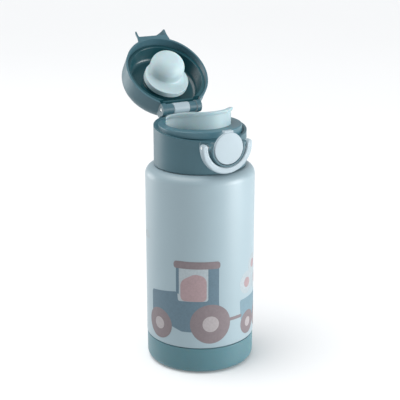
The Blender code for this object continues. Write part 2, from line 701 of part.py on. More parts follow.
def lid_axis():
    """The empty on the hinge line that swings the lid's pieces open from where they are drawn shut."""
    pivot = bpy.data.objects.new("lid_hinge_axis", None)
    bpy.context.scene.collection.objects.link(pivot)
    pivot.location = (0.0, HINGE_Y, HINGE_Z)
    pivot.rotation_euler = (-LID_OPEN, 0.0, 0.0)
    return pivot


def hang_on(pivot, *items):
    for item in items:
        item.parent = pivot
        item.matrix_parent_inverse = Matrix.Translation((0.0, -HINGE_Y, -HINGE_Z))


def make_lid_cover(pivot, material):
    corner_r = LID_RADIUS - LID_CORNER
    corner_z = LID_TOP_Z - 0.5 * MM - LID_CORNER
    dome = [(0.0, LID_TOP_Z), (12 * MM, LID_TOP_Z - 0.15 * MM)]
    dome += arc(corner_r, corner_z, LID_CORNER, 86, 0, 5)
    dome += [(LID_RADIUS, 142 * MM), (0.0, 142 * MM)]
    cover = turned("dome", dome, closed=False)
    hood = housing_turning("hood", HOOD_RADIUS, HOOD_Z, HOOD_FACE_Y, HOOD_FLARE)
    below = parting_tool("below_parting", below=True, rise=GAP)
    join(cover, hood)
    cut(cover, below)

    thick = LID_RADIUS - LID_BORE
    inside = [(0.0, LID_TOP_Z - thick), (12 * MM, LID_TOP_Z - thick - 0.15 * MM)]
    inside += arc(corner_r, corner_z, LID_CORNER - thick, 86, 0, 4)
    inside += [(LID_BORE, 130 * MM), (0.0, 130 * MM)]
    hollow = turned("lid_inside", inside, closed=False)
    arch = rod("arch", HOUSING_BORE, (0, -29.7 * MM, BUTTON_Z), (0, -42 * MM, BUTTON_Z), 28)
    notch = block("tab_notch", (-3.5 * MM, -42 * MM, 155 * MM), (3.5 * MM, -31.6 * MM, 159.5 * MM))
    cut(cover, hollow, arch, notch)
    web = block("catch_web", (-CATCH_HALF, -32.25 * MM, CATCH_LOW_Z),
                (CATCH_HALF, -31.0 * MM, CATCH_LOW_Z + 3.2 * MM))
    tooth = block("catch_tooth", (-CATCH_HALF, -33.5 * MM, CATCH_LOW_Z),
                  (CATCH_HALF, -31.5 * MM, CATCH_LOW_Z + 0.9 * MM))
    join(cover, web, tooth)

    window = block("hinge_window", (-14.6 * MM, 21.9 * MM, 140 * MM),
                   (14.6 * MM, 34 * MM, HINGE_Z + 3.9 * MM))
    cut(cover, window)
    hang_on(pivot, cover, hood, below, hollow, arch, notch, web, tooth, window)
    for side, label in ((-1, "left"), (1, "right")):
        low, high = sorted((side * EAR_IN, side * EAR_OUT))
        eye = cross_rod("ear_" + label, EAR_RADIUS, low, high, HINGE_Y, HINGE_Z, 28)
        arm = block("ear_arm_" + label, (low + 0.01 * MM, HINGE_Y - 2.6 * MM, HINGE_Z),
                    (high - 0.01 * MM, HINGE_Y + 2.2 * MM, HINGE_Z + 6.2 * MM))
        join(cover, eye, arm)
        hang_on(pivot, eye, arm)
    room = KNUCKLE_OUT + 0.35 * MM
    barrel_room = cross_rod("barrel_room", KNUCKLE_RADIUS + 0.55 * MM, -room, room, HINGE_Y, HINGE_Z, 28)
    pin_hole = hinge_hole("lid_hinge_hole")
    hang_on(pivot, barrel_room, pin_hole)
    collar_room = rod("collar_room", COLLAR_RADIUS + 0.4 * MM, (0, 0, 120 * MM), (0, 0, 165 * MM), 48)
    cut(collar_room, parting_tool("above_collar_room", below=False, rise=GAP))
    pillar_room = block("pillar_room", (-room, PILLAR_INNER_Y - 1.0 * MM, 150 * MM),
                        (room, HINGE_Y + 3.7 * MM, HINGE_Z - 0.2 * MM))
    cut(cover, barrel_room, pin_hole, collar_room, pillar_room)
    return as_part(cover, "lid_cover", material)


def make_lid_liner(pivot, material):
    wall, corner = LINER_WALL, LINER_CORNER
    outer = LINER_BOWL + wall
    outer_r, outer_z = outer - corner, LINER_CEILING_Z + wall - corner
    inner_r, inner_z = LINER_BOWL - corner + wall, LINER_CEILING_Z - corner + wall
    foot_top = LINER_FOOT_Z + 1.3 * MM
    outline = [(0.0, LINER_CEILING_Z + wall)]
    outline += arc(outer_r, outer_z, corner, 90, 0, 3)
    outline += [(outer, foot_top), (LINER_RADIUS, foot_top), (LINER_RADIUS, LINER_FOOT_Z)]
    outline += [(LINER_BOWL, LINER_FOOT_Z)]
    outline += arc(inner_r, inner_z, corner - wall, 0, 90, 2)
    outline += [(0.0, LINER_CEILING_Z)]
    liner = turned("liner_turning", outline, closed=False)
    window = block("liner_window", (-14.7 * MM, 21.6 * MM, 150 * MM), (14.7 * MM, 34 * MM, 166.6 * MM))
    bulkhead = block("hinge_bulkhead", (-BULKHEAD_HALF, BULKHEAD_Y, BULKHEAD_LOW_Z),
                     (BULKHEAD_HALF, BULKHEAD_BACK_Y, BULKHEAD_TOP_Z))
    cut(liner, window)
    join(liner, bulkhead)
    hang_on(pivot, liner, window, bulkhead)
    for side, label in ((-1, "front"), (1, "back")):
        y = STOPPER_Y + side * SCREW_OFFSET
        boss = rod("screw_boss_" + label, BOSS_RADIUS, (0, y, LINER_CEILING_Z + 0.5 * MM),
                   (0, y, BOSS_TOP_Z), 16)
        pilot = rod("screw_pilot_" + label, SCREW_ROOM, (0, y, 150 * MM), (0, y, SCREW_END_Z + GAP), 16)
        join(liner, boss)
        cut(liner, pilot)
        hang_on(pivot, boss, pilot)
    return as_part(liner, "lid_liner", material)


def make_stopper_holder(pivot, material):
    plate_top = LINER_CEILING_Z - GAP
    outline = [
        (0.0, plate_top), (HOLDER_PLATE_RADIUS, plate_top), (HOLDER_PLATE_RADIUS, HOLDER_PLATE_Z),
        (HOLDER_WAIST, HOLDER_PLATE_Z), (HOLDER_WAIST, HOLDER_FOOT_Z + 2.5 * MM),
        (HOLDER_FOOT_RADIUS, HOLDER_FOOT_Z + 1.5 * MM), (HOLDER_FOOT_RADIUS, HOLDER_FOOT_Z),
        (HOLDER_STEM, HOLDER_FOOT_Z), (HOLDER_STEM, HOLDER_TIP_Z), (0.0, HOLDER_TIP_Z),
    ]
    holder = turned("holder_turning", outline, steps=28, closed=False)
    holder.location = (0.0, STOPPER_Y, 0.0)
    hang_on(pivot, holder)
    for side, label in ((-1, "front"), (1, "back")):
        y = STOPPER_Y + side * SCREW_OFFSET
        hole = rod("holder_hole_" + label, SCREW_ROOM, (0, y, 164 * MM), (0, y, 175 * MM), 16)
        cut(holder, hole)
        hang_on(pivot, hole)
    return as_part(holder, "stopper_holder", material)


def make_holder_screws(pivot, material):
    for side, label in ((-1, "front"), (1, "back")):
        head_top = HOLDER_PLATE_Z - GAP
        outline = [
            (0.0, SCREW_END_Z), (SCREW_RADIUS, SCREW_END_Z), (SCREW_RADIUS, head_top),
            (SCREW_HEAD, head_top), (SCREW_HEAD, head_top - 0.7 * MM),
            (SCREW_HEAD - 0.6 * MM, head_top - 1.2 * MM), (0.0, head_top - 1.2 * MM),
        ]
        screw = turned("screw_turning_" + label, outline, steps=16, closed=False)
        screw.location = (0.0, STOPPER_Y + side * SCREW_OFFSET, 0.0)
        hang_on(pivot, screw)
        as_part(screw, "holder_screw_" + label, material)


def stopper_sections():
    """Circles of the stopper from its tip up, as (radius, height, centre y): nose, sweep and brim."""
    brim_top = HOLDER_FOOT_Z - GAP
    brim_low = brim_top - BRIM_THICKNESS
    sweep_z = brim_low - WAIST_FILLET
    edge = 0.6 * MM
    outline = arc(NOSE_RADIUS - NOSE_CORNER, NOSE_CORNER_Z, NOSE_CORNER, -80, 0, 6)
    outline += arc(NOSE_RADIUS + WAIST_FILLET, sweep_z, WAIST_FILLET, 180, 105, 4)
    outline += [(BRIM_RADIUS - edge, brim_low), (BRIM_RADIUS, brim_low + edge), (BRIM_RADIUS, brim_top - edge),
                (BRIM_RADIUS - edge, brim_top)]
    sections = []
    for radius, z in outline:
        share = min(1.0, max(0.0, (z - sweep_z) / WAIST_FILLET))
        sections.append((radius, z, STOPPER_Y + (BRIM_Y - STOPPER_Y) * share * share))
    return sections


def make_stopper_plug(pivot, material):
    """The silicone stopper: a blunt nose that sweeps out into a brim set back towards the hinge."""
    sides = 28
    bm = bmesh.new()
    rings = []
    for radius, z, y in stopper_sections():
        turns = [2 * math.pi * i / sides for i in range(sides)]
        rings.append([bm.verts.new((radius * math.cos(t), y + radius * math.sin(t), z)) for t in turns])
    for low, high in zip(rings, rings[1:]):
        for i in range(sides):
            n = (i + 1) % sides
            bm.faces.new((low[i], low[n], high[n], high[i]))
    tip = bm.verts.new((0.0, STOPPER_Y, NOSE_TIP_Z))
    for i in range(sides):
        bm.faces.new((tip, rings[0][(i + 1) % sides], rings[0][i]))
    bm.faces.new(rings[-1])
    bmesh.ops.recalc_face_normals(bm, faces=bm.faces)
    plug = new_object("plug_loft", mesh_from(bm, "plug_loft"), CUTTERS)
    socket = rod("plug_socket", HOLDER_STEM + GAP, (0, STOPPER_Y, HOLDER_TIP_Z - GAP),
                 (0, STOPPER_Y, 170 * MM), 28)
    cut(plug, socket)
    hang_on(pivot, plug, socket)
    return as_part(plug, "stopper_plug", material)


def main():
    teal = finish_material("teal_plastic", TEAL, 0.42)
    dark = finish_material("dark_teal_plastic", DARK_TEAL, 0.38)
    pale = finish_material("pale_blue_plastic", PALE_BLUE, 0.4)
    paint = finish_material("pale_blue_coating", BODY_BLUE, 0.5)
    silicone = finish_material("pale_blue_silicone", SILICONE, 0.55)
    boot = finish_material("teal_silicone", BOOT_TEAL, 0.6)
    gasket = finish_material("white_silicone", OFF_WHITE, 0.5)
    steel = finish_material("stainless_steel", STEEL, 0.3, 1.0)
    wire = finish_material("spring_steel", SPRING_GREY, 0.35, 1.0)

    make_bottle_outer_shell(paint)
    make_bottle_inner_flask(steel)
    make_base_disc(steel)
    make_boot(boot)
    make_neck_gasket(gasket)
    make_collar_shell(teal)
    make_collar_core(teal)
    make_spout_retainer(teal)
    make_drinking_spout(silicone)
    make_lock_ring(pale)
    make_release_button(pale)
    make_pins(steel)
    make_springs(wire)
    make_hinge_sleeve(pale)
    pivot = lid_axis()
    make_lid_cover(pivot, teal)
    make_lid_liner(pivot, dark)
    make_stopper_holder(pivot, dark)
    make_holder_screws(pivot, steel)
    make_stopper_plug(pivot, silicone)


main()
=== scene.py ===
"""Insulated children's bottle: the visible pieces and finishes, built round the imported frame."""

import math

import bmesh
import bpy
from bpy.props import FloatProperty, FloatVectorProperty, IntProperty, PointerProperty
from mathutils import Matrix, Vector


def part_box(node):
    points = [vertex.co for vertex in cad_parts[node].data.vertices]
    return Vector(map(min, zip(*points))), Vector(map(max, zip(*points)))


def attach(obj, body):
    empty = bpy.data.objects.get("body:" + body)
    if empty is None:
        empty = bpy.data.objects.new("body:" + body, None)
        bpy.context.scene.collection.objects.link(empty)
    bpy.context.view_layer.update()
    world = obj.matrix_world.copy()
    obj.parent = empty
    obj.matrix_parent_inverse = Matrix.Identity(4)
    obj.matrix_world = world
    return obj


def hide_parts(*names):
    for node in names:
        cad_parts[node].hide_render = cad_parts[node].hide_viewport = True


bl_info = {
    "name": "Kids Water Bottle",
    "version": (1, 0, 0),
    "blender": (4, 5, 0),
    "location": "View3D > Sidebar > Bottle",
    "description": "Builds the visible pieces of an insulated children's bottle round its frame",
    "category": "Add Mesh",
}

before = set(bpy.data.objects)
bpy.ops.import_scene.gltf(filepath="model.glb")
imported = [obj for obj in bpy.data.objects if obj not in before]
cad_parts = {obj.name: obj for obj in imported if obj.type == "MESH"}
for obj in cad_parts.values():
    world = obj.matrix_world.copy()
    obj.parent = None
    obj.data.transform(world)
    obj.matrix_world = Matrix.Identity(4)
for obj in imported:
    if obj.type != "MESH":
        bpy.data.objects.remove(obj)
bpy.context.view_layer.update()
MM = 0.001

# places and sizes shared with the frame, in millimetres
SHELL_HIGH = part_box("bottle_outer_shell")[1] / MM
BOOT_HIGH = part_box("silicone_boot")[1] / MM
BODY_RADIUS = SHELL_HIGH.x
BOOT_RADIUS = BOOT_HIGH.x
BOOT_TOP = BOOT_HIGH.z
SHOULDER_Z = 130.6
SHOULDER_FILLET = 6.0
SHELL_STEEL = 0.8
SHELL_FOOT_Z = 2.3
BASE_OPENING = 28.8
NECK_RADIUS = 22.6
NECK_TOP_Z = 147.9
THREAD_LEAD = 4.0
THREAD_TURNS = 1.25
NECK_THREAD_Z = 136.5
CAP_THREAD_Z = 134.5
BOOT_WALL = 1.3
BOOT_FLOOR = 2.0
BOOT_RECESS = 0.6
COLLAR_RADIUS = 29.4
COLLAR_BORE = 27.8
COLLAR_FOOT_Z = 131.0
PARTING_Z = 154.7
PARTING_SLOPE = math.radians(5.7)
CORE_RADIUS = 25.6
CORE_BORE = 24.0
CORE_FOOT_Z = 131.5
DECK_Z = 156.9
DECK_UNDER_Z = 155.3
DECK_RADIUS = 26.5
DECK_HOLE = 21.1
SPOUT_Y = 2.2
SPOUT_BORE = 18.9
SPOUT_WALL = 20.6
SPOUT_FLARE = 1.1
STOPPER_Y = -2.0
BUTTON_Z = 148.2
BUTTON_RADIUS = 10.0
BUTTON_FACE = 36.1
BUTTON_BACK = 34.4
HOUSING_RADIUS = 11.6
HOUSING_FACE = 35.6
HOUSING_BORE = 10.55
SPRING_Z = 142.2
RING_RADIUS = 15.6
RING_HALF_WIDTH = 2.1
RING_DEPTH = 4.4
PIVOT_Y = -32.5
PIVOT_Z = 149.7
PIN_BORE = 1.3
HINGE_Y = 26.4
HINGE_Z = 161.7
HINGE_BORE = 1.4
SLEEVE_RADIUS = 3.55
SLEEVE_BORE = 2.65
SLEEVE_HALF = 5.6
KNUCKLE_RADIUS = 3.4
KNUCKLE_IN, KNUCKLE_OUT = 5.9, 10.6
EAR_RADIUS = 4.0
EAR_IN, EAR_OUT = 11.0, 14.2
LID_OPEN = math.radians(142.9)
LID_RADIUS = 28.2
LID_WALL = 1.3
LID_CORNER = 10.0
LID_TOP_Z = 175.4
HOOD_RADIUS = 11.4
HOOD_Z = 148.9
HOOD_FACE = 34.2
LINER_BOWL = 24.2
LINER_WALL = 1.2
LINER_FOOT_Z = 157.6
LINER_CEILING_Z = 169.3
SCREW_OFFSET = 9.2
SCREW_ROOM = 1.4
NOSE_RADIUS = 11.4
NOSE_CORNER = 8.4
NOSE_CORNER_Z = 152.9
NOSE_TIP_Z = 144.3
BRIM_RADIUS = 14.9
BRIM_Y = 1.6
BRIM_LOW_Z = 158.9
BRIM_TOP_Z = 162.9
CLEARANCE = 0.3
ROUND_STEPS = 120
FLOOR_DROP = 0.2 * MM

# camera place and aim, and the way the printed picture faces
VIEW_AZIMUTH = math.radians(29.3)
VIEW_PITCH = math.radians(17.09)
CAMERA_PLACE = (-0.3252, -0.5795, 0.3104)
LENS_MM = 97.25
PRINT_FACING = Vector((-math.sin(VIEW_AZIMUTH), -math.cos(VIEW_AZIMUTH), 0.0))
PRINT_ALONG = Vector((math.cos(VIEW_AZIMUTH), -math.sin(VIEW_AZIMUTH), 0.0))


# ---------------------------------------------------------------- shapes

def link(name, bm):
    mesh = bpy.data.meshes.new(name)
    bm.to_mesh(mesh)
    bm.free()
    item = bpy.data.objects.new(name, mesh)
    bpy.context.scene.collection.objects.link(item)
    return item


def arc(centre_a, centre_b, radius, start, end, count):
    """Points on an arc, with angles in degrees."""
    turns = [math.radians(start + (end - start) * i / count) for i in range(count + 1)]
    return [(centre_a + radius * math.cos(t), centre_b + radius * math.sin(t)) for t in turns]


def rounded(corners, closed=False, steps=5):
    """Outline with softened corners; each corner is (across, up, fillet) in millimetres."""
    points = []
    last = len(corners) - 1
    for i, (across, up, fillet) in enumerate(corners):
        here = Vector((across, up))
        if fillet <= 0 or (not closed and i in (0, last)):
            points.append(tuple(here))
            continue
        before = Vector(corners[i - 1][:2]) - here
        after = Vector(corners[(i + 1) % len(corners)][:2]) - here
        half = before.angle(after) / 2
        reach = min(fillet / math.tan(half), 0.49 * before.length, 0.49 * after.length)
        radius = reach * math.tan(half)
        start, end = before.normalized() * reach, after.normalized() * reach
        centre = (start + end).normalized() * (radius / math.sin(half))
        for k in range(steps + 1):
            spoke = (start - centre).lerp(end - centre, k / steps).normalized() * radius
            points.append(tuple(here + centre + spoke))
    return points


def lathe(name, outline, steps=ROUND_STEPS, closed=False):
    """A closed body of revolution from (radius, height) points in millimetres."""
    bm = bmesh.new()
    rings = []
    for radius, z in outline:
        if radius < 1e-6:
            rings.append([bm.verts.new((0.0, 0.0, z * MM))])
            continue
        turns = [2 * math.pi * i / steps for i in range(steps)]
        rings.append([bm.verts.new((radius * MM * math.cos(t), radius * MM * math.sin(t), z * MM))
                      for t in turns])
    pairs = list(zip(rings, rings[1:]))
    if closed:
        pairs.append((rings[-1], rings[0]))
    for low, high in pairs:
        for i in range(steps):
            j = (i + 1) % steps
            loop = (low[i % len(low)], low[j % len(low)], high[j % len(high)], high[i % len(high)])
            corners = list(dict.fromkeys(loop))
            if len(corners) > 2:
                bm.faces.new(corners)
    bmesh.ops.recalc_face_normals(bm, faces=bm.faces)
    return link(name, bm)


def loft(name, rings):
    """A closed ring of closed sections, in millimetres."""
    bm = bmesh.new()
    made = [[bm.verts.new(Vector(p) * MM) for p in ring] for ring in rings]
    for here, there in zip(made, made[1:] + made[:1]):
        for k in range(len(here)):
            n = (k + 1) % len(here)
            bm.faces.new((here[k], here[n], there[n], there[k]))
    bmesh.ops.recalc_face_normals(bm, faces=bm.faces)
    return link(name, bm)


def slab(low, high):
    """A box tool between two corners, in millimetres."""
    low, high = Vector(low) * MM, Vector(high) * MM
    bm = bmesh.new()
    place = Matrix.Translation((low + high) / 2) @ Matrix.Diagonal((*(high - low), 1.0))
    bmesh.ops.create_cube(bm, size=1.0, matrix=place)
    return link("tool", bm)


def bar(radius, start, end, sides=64):
    """A round bar tool between two points, in millimetres."""
    start, end = Vector(start) * MM, Vector(end) * MM
    along = end - start
    place = Matrix.Translation((start + end) / 2) @ along.to_track_quat("Z", "Y").to_matrix().to_4x4()
    bm = bmesh.new()
    bmesh.ops.create_cone(bm, cap_ends=True, segments=sides, radius1=radius * MM, radius2=radius * MM,
                          depth=along.length, matrix=place)
    return link("tool", bm)


def cross_bar(radius, low, high, y, z, sides=64):
    return bar(radius, (low, y, z), (high, y, z), sides)


def shift(item, matrix):
    item.data.transform(matrix)
    return item


def turn_about(item, axis, y, z):
    """Lays a turned shape down by a quarter turn and sets it on a line through (y, z)."""
    place = Matrix.Translation((0, y * MM, z * MM))
    return shift(item, place @ Matrix.Rotation(math.radians(90), 4, axis))


def thicken(bm, offset):
    """Gives a flat sheet its thickness."""
    raised = bmesh.ops.extrude_face_region(bm, geom=bm.faces[:])["geom"]
    corners = [vert for vert in raised if isinstance(vert, bmesh.types.BMVert)]
    bmesh.ops.translate(bm, vec=offset, verts=corners)


def settle(item):
    """Applies an object's modifiers to its mesh."""
    bpy.context.view_layer.update()
    graph = bpy.context.evaluated_depsgraph_get()
    mesh = bpy.data.meshes.new_from_object(item.evaluated_get(graph))
    old = item.data
    item.modifiers.clear()
    item.data = mesh
    bpy.data.meshes.remove(old)


def combine(item, tools, operation):
    for tool in tools:
        boolean = item.modifiers.new("boolean", "BOOLEAN")
        boolean.operation = operation
        boolean.object = tool
    settle(item)
    for tool in tools:
        bpy.data.objects.remove(tool, do_unlink=True)


def carve(item, *tools):
    combine(item, tools, "DIFFERENCE")


def weld(item, *tools):
    combine(item, tools, "UNION")


def soften(item, width, segments=2, angle=38):
    """Rounds the sharp edges of a shape."""
    bevel = item.modifiers.new("bevel", "BEVEL")
    bevel.width = width * MM
    bevel.segments = segments
    bevel.limit_method = "ANGLE"
    bevel.angle_limit = math.radians(angle)
    bevel.use_clamp_overlap = True
    settle(item)


def swung_open(item):
    """Turns a piece drawn on the shut lid to where the open lid holds it."""
    hinge = Vector((0.0, HINGE_Y, HINGE_Z)) * MM
    return shift(item, Matrix.Translation(hinge) @ Matrix.Rotation(-LID_OPEN, 4, "X")
                 @ Matrix.Translation(-hinge))


def piece(item, name, body, material, stands_for=(), sharp=36):
    """Names a finished shape, gives it its finish and ties it to the frame."""
    item.name = name
    item.data.name = name
    item.data.materials.clear()
    item.data.materials.append(material)
    item.data.shade_smooth()
    item.data.set_sharp_from_angle(angle=math.radians(sharp))
    weighted = item.modifiers.new("even_shading", "WEIGHTED_NORMAL")
    weighted.keep_sharp = True
    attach(item, body)
    if stands_for:
        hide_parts(*stands_for)


# ---------------------------------------------------------------- finishes

def node(tree, kind, place, **settings):
    made = tree.nodes.new(kind)
    made.location = place
    for key, value in settings.items():
        setattr(made, key, value)
    return made


def noise(tree, vector, scale, detail, place, stretch=None):
    """A noise texture in the object's own space; scale is in grains per metre."""
    if stretch:
        mapping = node(tree, "ShaderNodeMapping", (place[0] - 180, place[1]))
        mapping.inputs["Scale"].default_value = stretch
        tree.links.new(vector, mapping.inputs["Vector"])
        vector = mapping.outputs["Vector"]
    texture = node(tree, "ShaderNodeTexNoise", place)
    texture.inputs["Scale"].default_value = scale
    texture.inputs["Detail"].default_value = detail
    tree.links.new(vector, texture.inputs["Vector"])
    return texture.outputs["Fac"]


def spread(tree, value, low, high, place):
    """Maps the middle of a noise to a range."""
    ramp = node(tree, "ShaderNodeMapRange", place)
    ramp.inputs["From Min"].default_value = 0.3
    ramp.inputs["From Max"].default_value = 0.7
    ramp.inputs["To Min"].default_value = low
    ramp.inputs["To Max"].default_value = high
    tree.links.new(value, ramp.inputs["Value"])
    return ramp.outputs["Result"]


def finish(name, colour, roughness, grain=2600.0, depth=0.05, strength=0.25, mottle=0.05,
           patch=45.0, stretch=None, **sockets):
    """A moulded, coated or metal finish: mottled colour, uneven gloss and a fine grain."""
    material = bpy.data.materials.new(name)
    material.use_nodes = True
    tree = material.node_tree
    shader = tree.nodes["Principled BSDF"]
    space = node(tree, "ShaderNodeTexCoord", (-1100, 0)).outputs["Object"]
    broad = noise(tree, space, patch, 3.0, (-820, 160))
    fine = noise(tree, space, grain, 2.0, (-820, -220), stretch)
    mix = node(tree, "ShaderNodeMix", (-320, 220), data_type="RGBA")
    mix.inputs["A"].default_value = (*(c * (1 - mottle) for c in colour), 1.0)
    mix.inputs["B"].default_value = (*(min(1.0, c * (1 + mottle)) for c in colour), 1.0)
    tree.links.new(spread(tree, broad, 0.0, 1.0, (-560, 240)), mix.inputs["Factor"])
    tree.links.new(mix.outputs["Result"], shader.inputs["Base Color"])
    gloss = node(tree, "ShaderNodeMath", (-340, -20), operation="ADD")
    tree.links.new(spread(tree, broad, roughness - 0.04, roughness + 0.02, (-560, 20)), gloss.inputs[0])
    tree.links.new(spread(tree, fine, 0.0, 0.05, (-560, -160)), gloss.inputs[1])
    tree.links.new(gloss.outputs["Value"], shader.inputs["Roughness"])
    bump = node(tree, "ShaderNodeBump", (-320, -260))
    bump.inputs["Strength"].default_value = strength
    bump.inputs["Distance"].default_value = depth * MM
    tree.links.new(fine, bump.inputs["Height"])
    tree.links.new(bump.outputs["Normal"], shader.inputs["Normal"])
    for socket, value in sockets.items():
        shader.inputs[socket.replace("_", " ")].default_value = value
    return material


def coating(name, colour):
    return finish(name, colour, 0.5, grain=3200.0, depth=0.06, strength=0.3, mottle=0.02, patch=30.0,
                  Coat_Weight=0.45, Coat_Roughness=0.32)


def moulded(name, colour, roughness=0.42):
    return finish(name, colour, roughness, grain=2600.0, depth=0.04, strength=0.22, mottle=0.05)


def silicone(name, colour, depth_of_glow=1.2):
    return finish(name, colour, 0.5, grain=3000.0, depth=0.05, strength=0.28, mottle=0.035,
                  Subsurface_Weight=0.3, Subsurface_Scale=depth_of_glow * MM, Sheen_Weight=0.12,
                  Sheen_Roughness=0.5)


def ink(name, colour):
    return finish(name, colour, 0.55, grain=2200.0, depth=0.03, strength=0.25, mottle=0.07, patch=700.0)


def steel(name, colour=(0.62, 0.62, 0.61)):
    return finish(name, colour, 0.28, grain=900.0, depth=0.02, strength=0.2, mottle=0.06,
                  stretch=(1.0, 1.0, 14.0), Metallic=1.0, Anisotropic=0.4)


# ---------------------------------------------------------------- settings

def colour_setting(name, description, default):
    return FloatVectorProperty(name=name, description=description, subtype="COLOR", size=3,
                               min=0.0, max=1.0, default=default)


def length_setting(name, description, default):
    return FloatProperty(name=name, description=description, default=default, min=0.0,
                         unit="LENGTH", subtype="DISTANCE")


class BottleColours(bpy.types.PropertyGroup):
    """Colours of the bottle's finishes."""

    coat: colour_setting("Coating", "Pale blue powder coat on the steel body", (0.248, 0.333, 0.372))
    teal: colour_setting("Teal plastic", "Collar, lid and hinge ears", (0.042, 0.108, 0.136))
    lid_inside: colour_setting("Lid lining", "Darker glossy lining of the lid", (0.011, 0.06, 0.075))
    pale: colour_setting("Pale plastic", "Button, lock ring and hinge sleeve", (0.31, 0.385, 0.425))
    soft: colour_setting("Spout silicone", "Soft drinking spout", (0.29, 0.405, 0.435))
    stopper: colour_setting("Stopper silicone", "Soft stopper in the lid", (0.40, 0.52, 0.55))
    boot: colour_setting("Boot silicone", "Boot under the body", (0.060, 0.158, 0.188))
    tractor: colour_setting("Tractor ink", "Bodywork of the printed tractor", (0.086, 0.145, 0.186))
    tyre: colour_setting("Tyre ink", "Tyres and roof of the print", (0.165, 0.137, 0.147))
    hub: colour_setting("Hub ink", "Wheel hubs of the print", (0.315, 0.293, 0.30))
    load: colour_setting("Bale ink", "Bale in the printed cab", (0.292, 0.213, 0.224))
    cart: colour_setting("Cart ink", "Printed cart", (0.133, 0.22, 0.265))
    pane: colour_setting("Pane ink", "Printed window pane and far bales", (0.31, 0.36, 0.385))


class BottleSizes(bpy.types.PropertyGroup):
    """Sizes that change how the visible pieces are drawn."""

    edge_round: length_setting("Edge rounding", "Rounding of the moulded edges", 0.35 * MM)
    ink_thickness: length_setting("Ink thickness", "How far the print stands off the coating", 0.03 * MM)
    print_height: length_setting("Print height", "Height of the tractor's wheel centres", 34.4 * MM)
    lip_band: length_setting("Lip band", "Depth of the rolled band at the spout's front", 2.2 * MM)


class BottleStage(bpy.types.PropertyGroup):
    """Floor and lights of the stage."""

    floor_size: length_setting("Floor size", "Side of the square floor", 9.0)
    surround: FloatProperty(name="Surround light", description="Strength of the even light",
                            default=0.56, min=0.0, max=3.0)
    side_light: FloatProperty(name="Side light", description="Power of the softbox on the right",
                              default=9.6, min=0.0, max=60.0)
    edge_light: FloatProperty(name="Edge light", description="Power of the softbox behind on the left",
                              default=3.0, min=0.0, max=60.0)
    top_light: FloatProperty(name="Top light", description="Strength of the broad light above",
                             default=2.15, min=0.0, max=10.0)
    floor_grain: IntProperty(name="Floor grain", description="Grains per metre of the floor",
                             default=300, min=1, max=2000)


def colours():
    return bpy.context.scene.bottle_colours


def sizes():
    return bpy.context.scene.bottle_sizes


# ---------------------------------------------------------------- body and boot

def thread(name, root, crest, start_z):
    """A right-handed helical ridge that tapers away at both ends."""
    count = 150
    bm = bmesh.new()
    rings = []
    for i in range(count + 1):
        share = i / count
        angle = 2 * math.pi * THREAD_TURNS * share
        height = min(1.0, 8 * share + 0.02, 8 * (1 - share) + 0.02)
        top = root + (crest - root) * height
        z = start_z + THREAD_LEAD * THREAD_TURNS * share
        foot = root - 0.3
        section = [(foot, 1.1), (top, 0.5), (top + 0.1, 0.25),
                   (top + 0.1, -0.25), (top, -0.5), (foot, -1.1)]
        rings.append([bm.verts.new(Vector((r * math.cos(angle), r * math.sin(angle), z + dz)) * MM)
                      for r, dz in section])
    size = len(rings[0])
    for a, b in zip(rings, rings[1:]):
        for k in range(size):
            bm.faces.new((a[k], a[(k + 1) % size], b[(k + 1) % size], b[k]))
    bm.faces.new(rings[0][::-1])
    bm.faces.new(rings[-1])
    bmesh.ops.recalc_face_normals(bm, faces=bm.faces)
    return link(name, bm)


class BOTTLE_OT_body(bpy.types.Operator):
    """Coated steel body: straight wall, rounded shoulder, threaded neck"""

    bl_idname = "bottle.body"
    bl_label = "Body"

    def execute(self, context):
        foot = BOOT_RADIUS - BOOT_WALL - CLEARANCE
        middle = BODY_RADIUS - SHOULDER_FILLET
        hem = BOOT_TOP + 0.5
        lining = foot - SHELL_STEEL
        seat = SHELL_FOOT_Z + SHELL_STEEL
        outline = rounded([
            (NECK_RADIUS - SHELL_STEEL, NECK_TOP_Z, 0), (NECK_RADIUS, NECK_TOP_Z, 0.3),
            (NECK_RADIUS, SHOULDER_Z + 0.4, 0.8), (middle + 0.4, SHOULDER_Z - 0.1, 1.0)])
        outline += arc(middle, SHOULDER_Z - SHOULDER_FILLET, SHOULDER_FILLET, 78, 0, 14)
        outline += rounded([
            (BODY_RADIUS, BOOT_TOP + 3.0, 0), (BODY_RADIUS, hem, 0.7), (foot, hem, 0.2),
            (foot, SHELL_FOOT_Z, 3.2), (BASE_OPENING, SHELL_FOOT_Z, 0), (BASE_OPENING, seat, 0),
            (lining, seat, 2.4), (lining, BOOT_TOP + 1.5, 0.3),
            (BODY_RADIUS - SHELL_STEEL, BOOT_TOP + 2.6, 0)])
        outline += arc(middle, SHOULDER_Z - SHOULDER_FILLET, SHOULDER_FILLET - SHELL_STEEL, 0, 78, 8)
        outline += [(NECK_RADIUS - SHELL_STEEL, SHOULDER_Z - 0.6)]
        shell = lathe("body", outline, 160, closed=True)
        weld(shell, thread("neck_ridge", NECK_RADIUS, NECK_RADIUS + 1.0, NECK_THREAD_Z))
        coat = coating("powder_coat", colours().coat)
        piece(shell, "coated_body", "bottle", coat, ("bottle_outer_shell",))
        inside = steel("brushed_steel")
        for name in ("bottle_inner_flask", "base_disc"):
            refinish(name, inside)
        return {"FINISHED"}


def refinish(name, material):
    """Gives a carried-over frame node its finish."""
    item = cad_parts[name]
    item.data.materials.clear()
    item.data.materials.append(material)


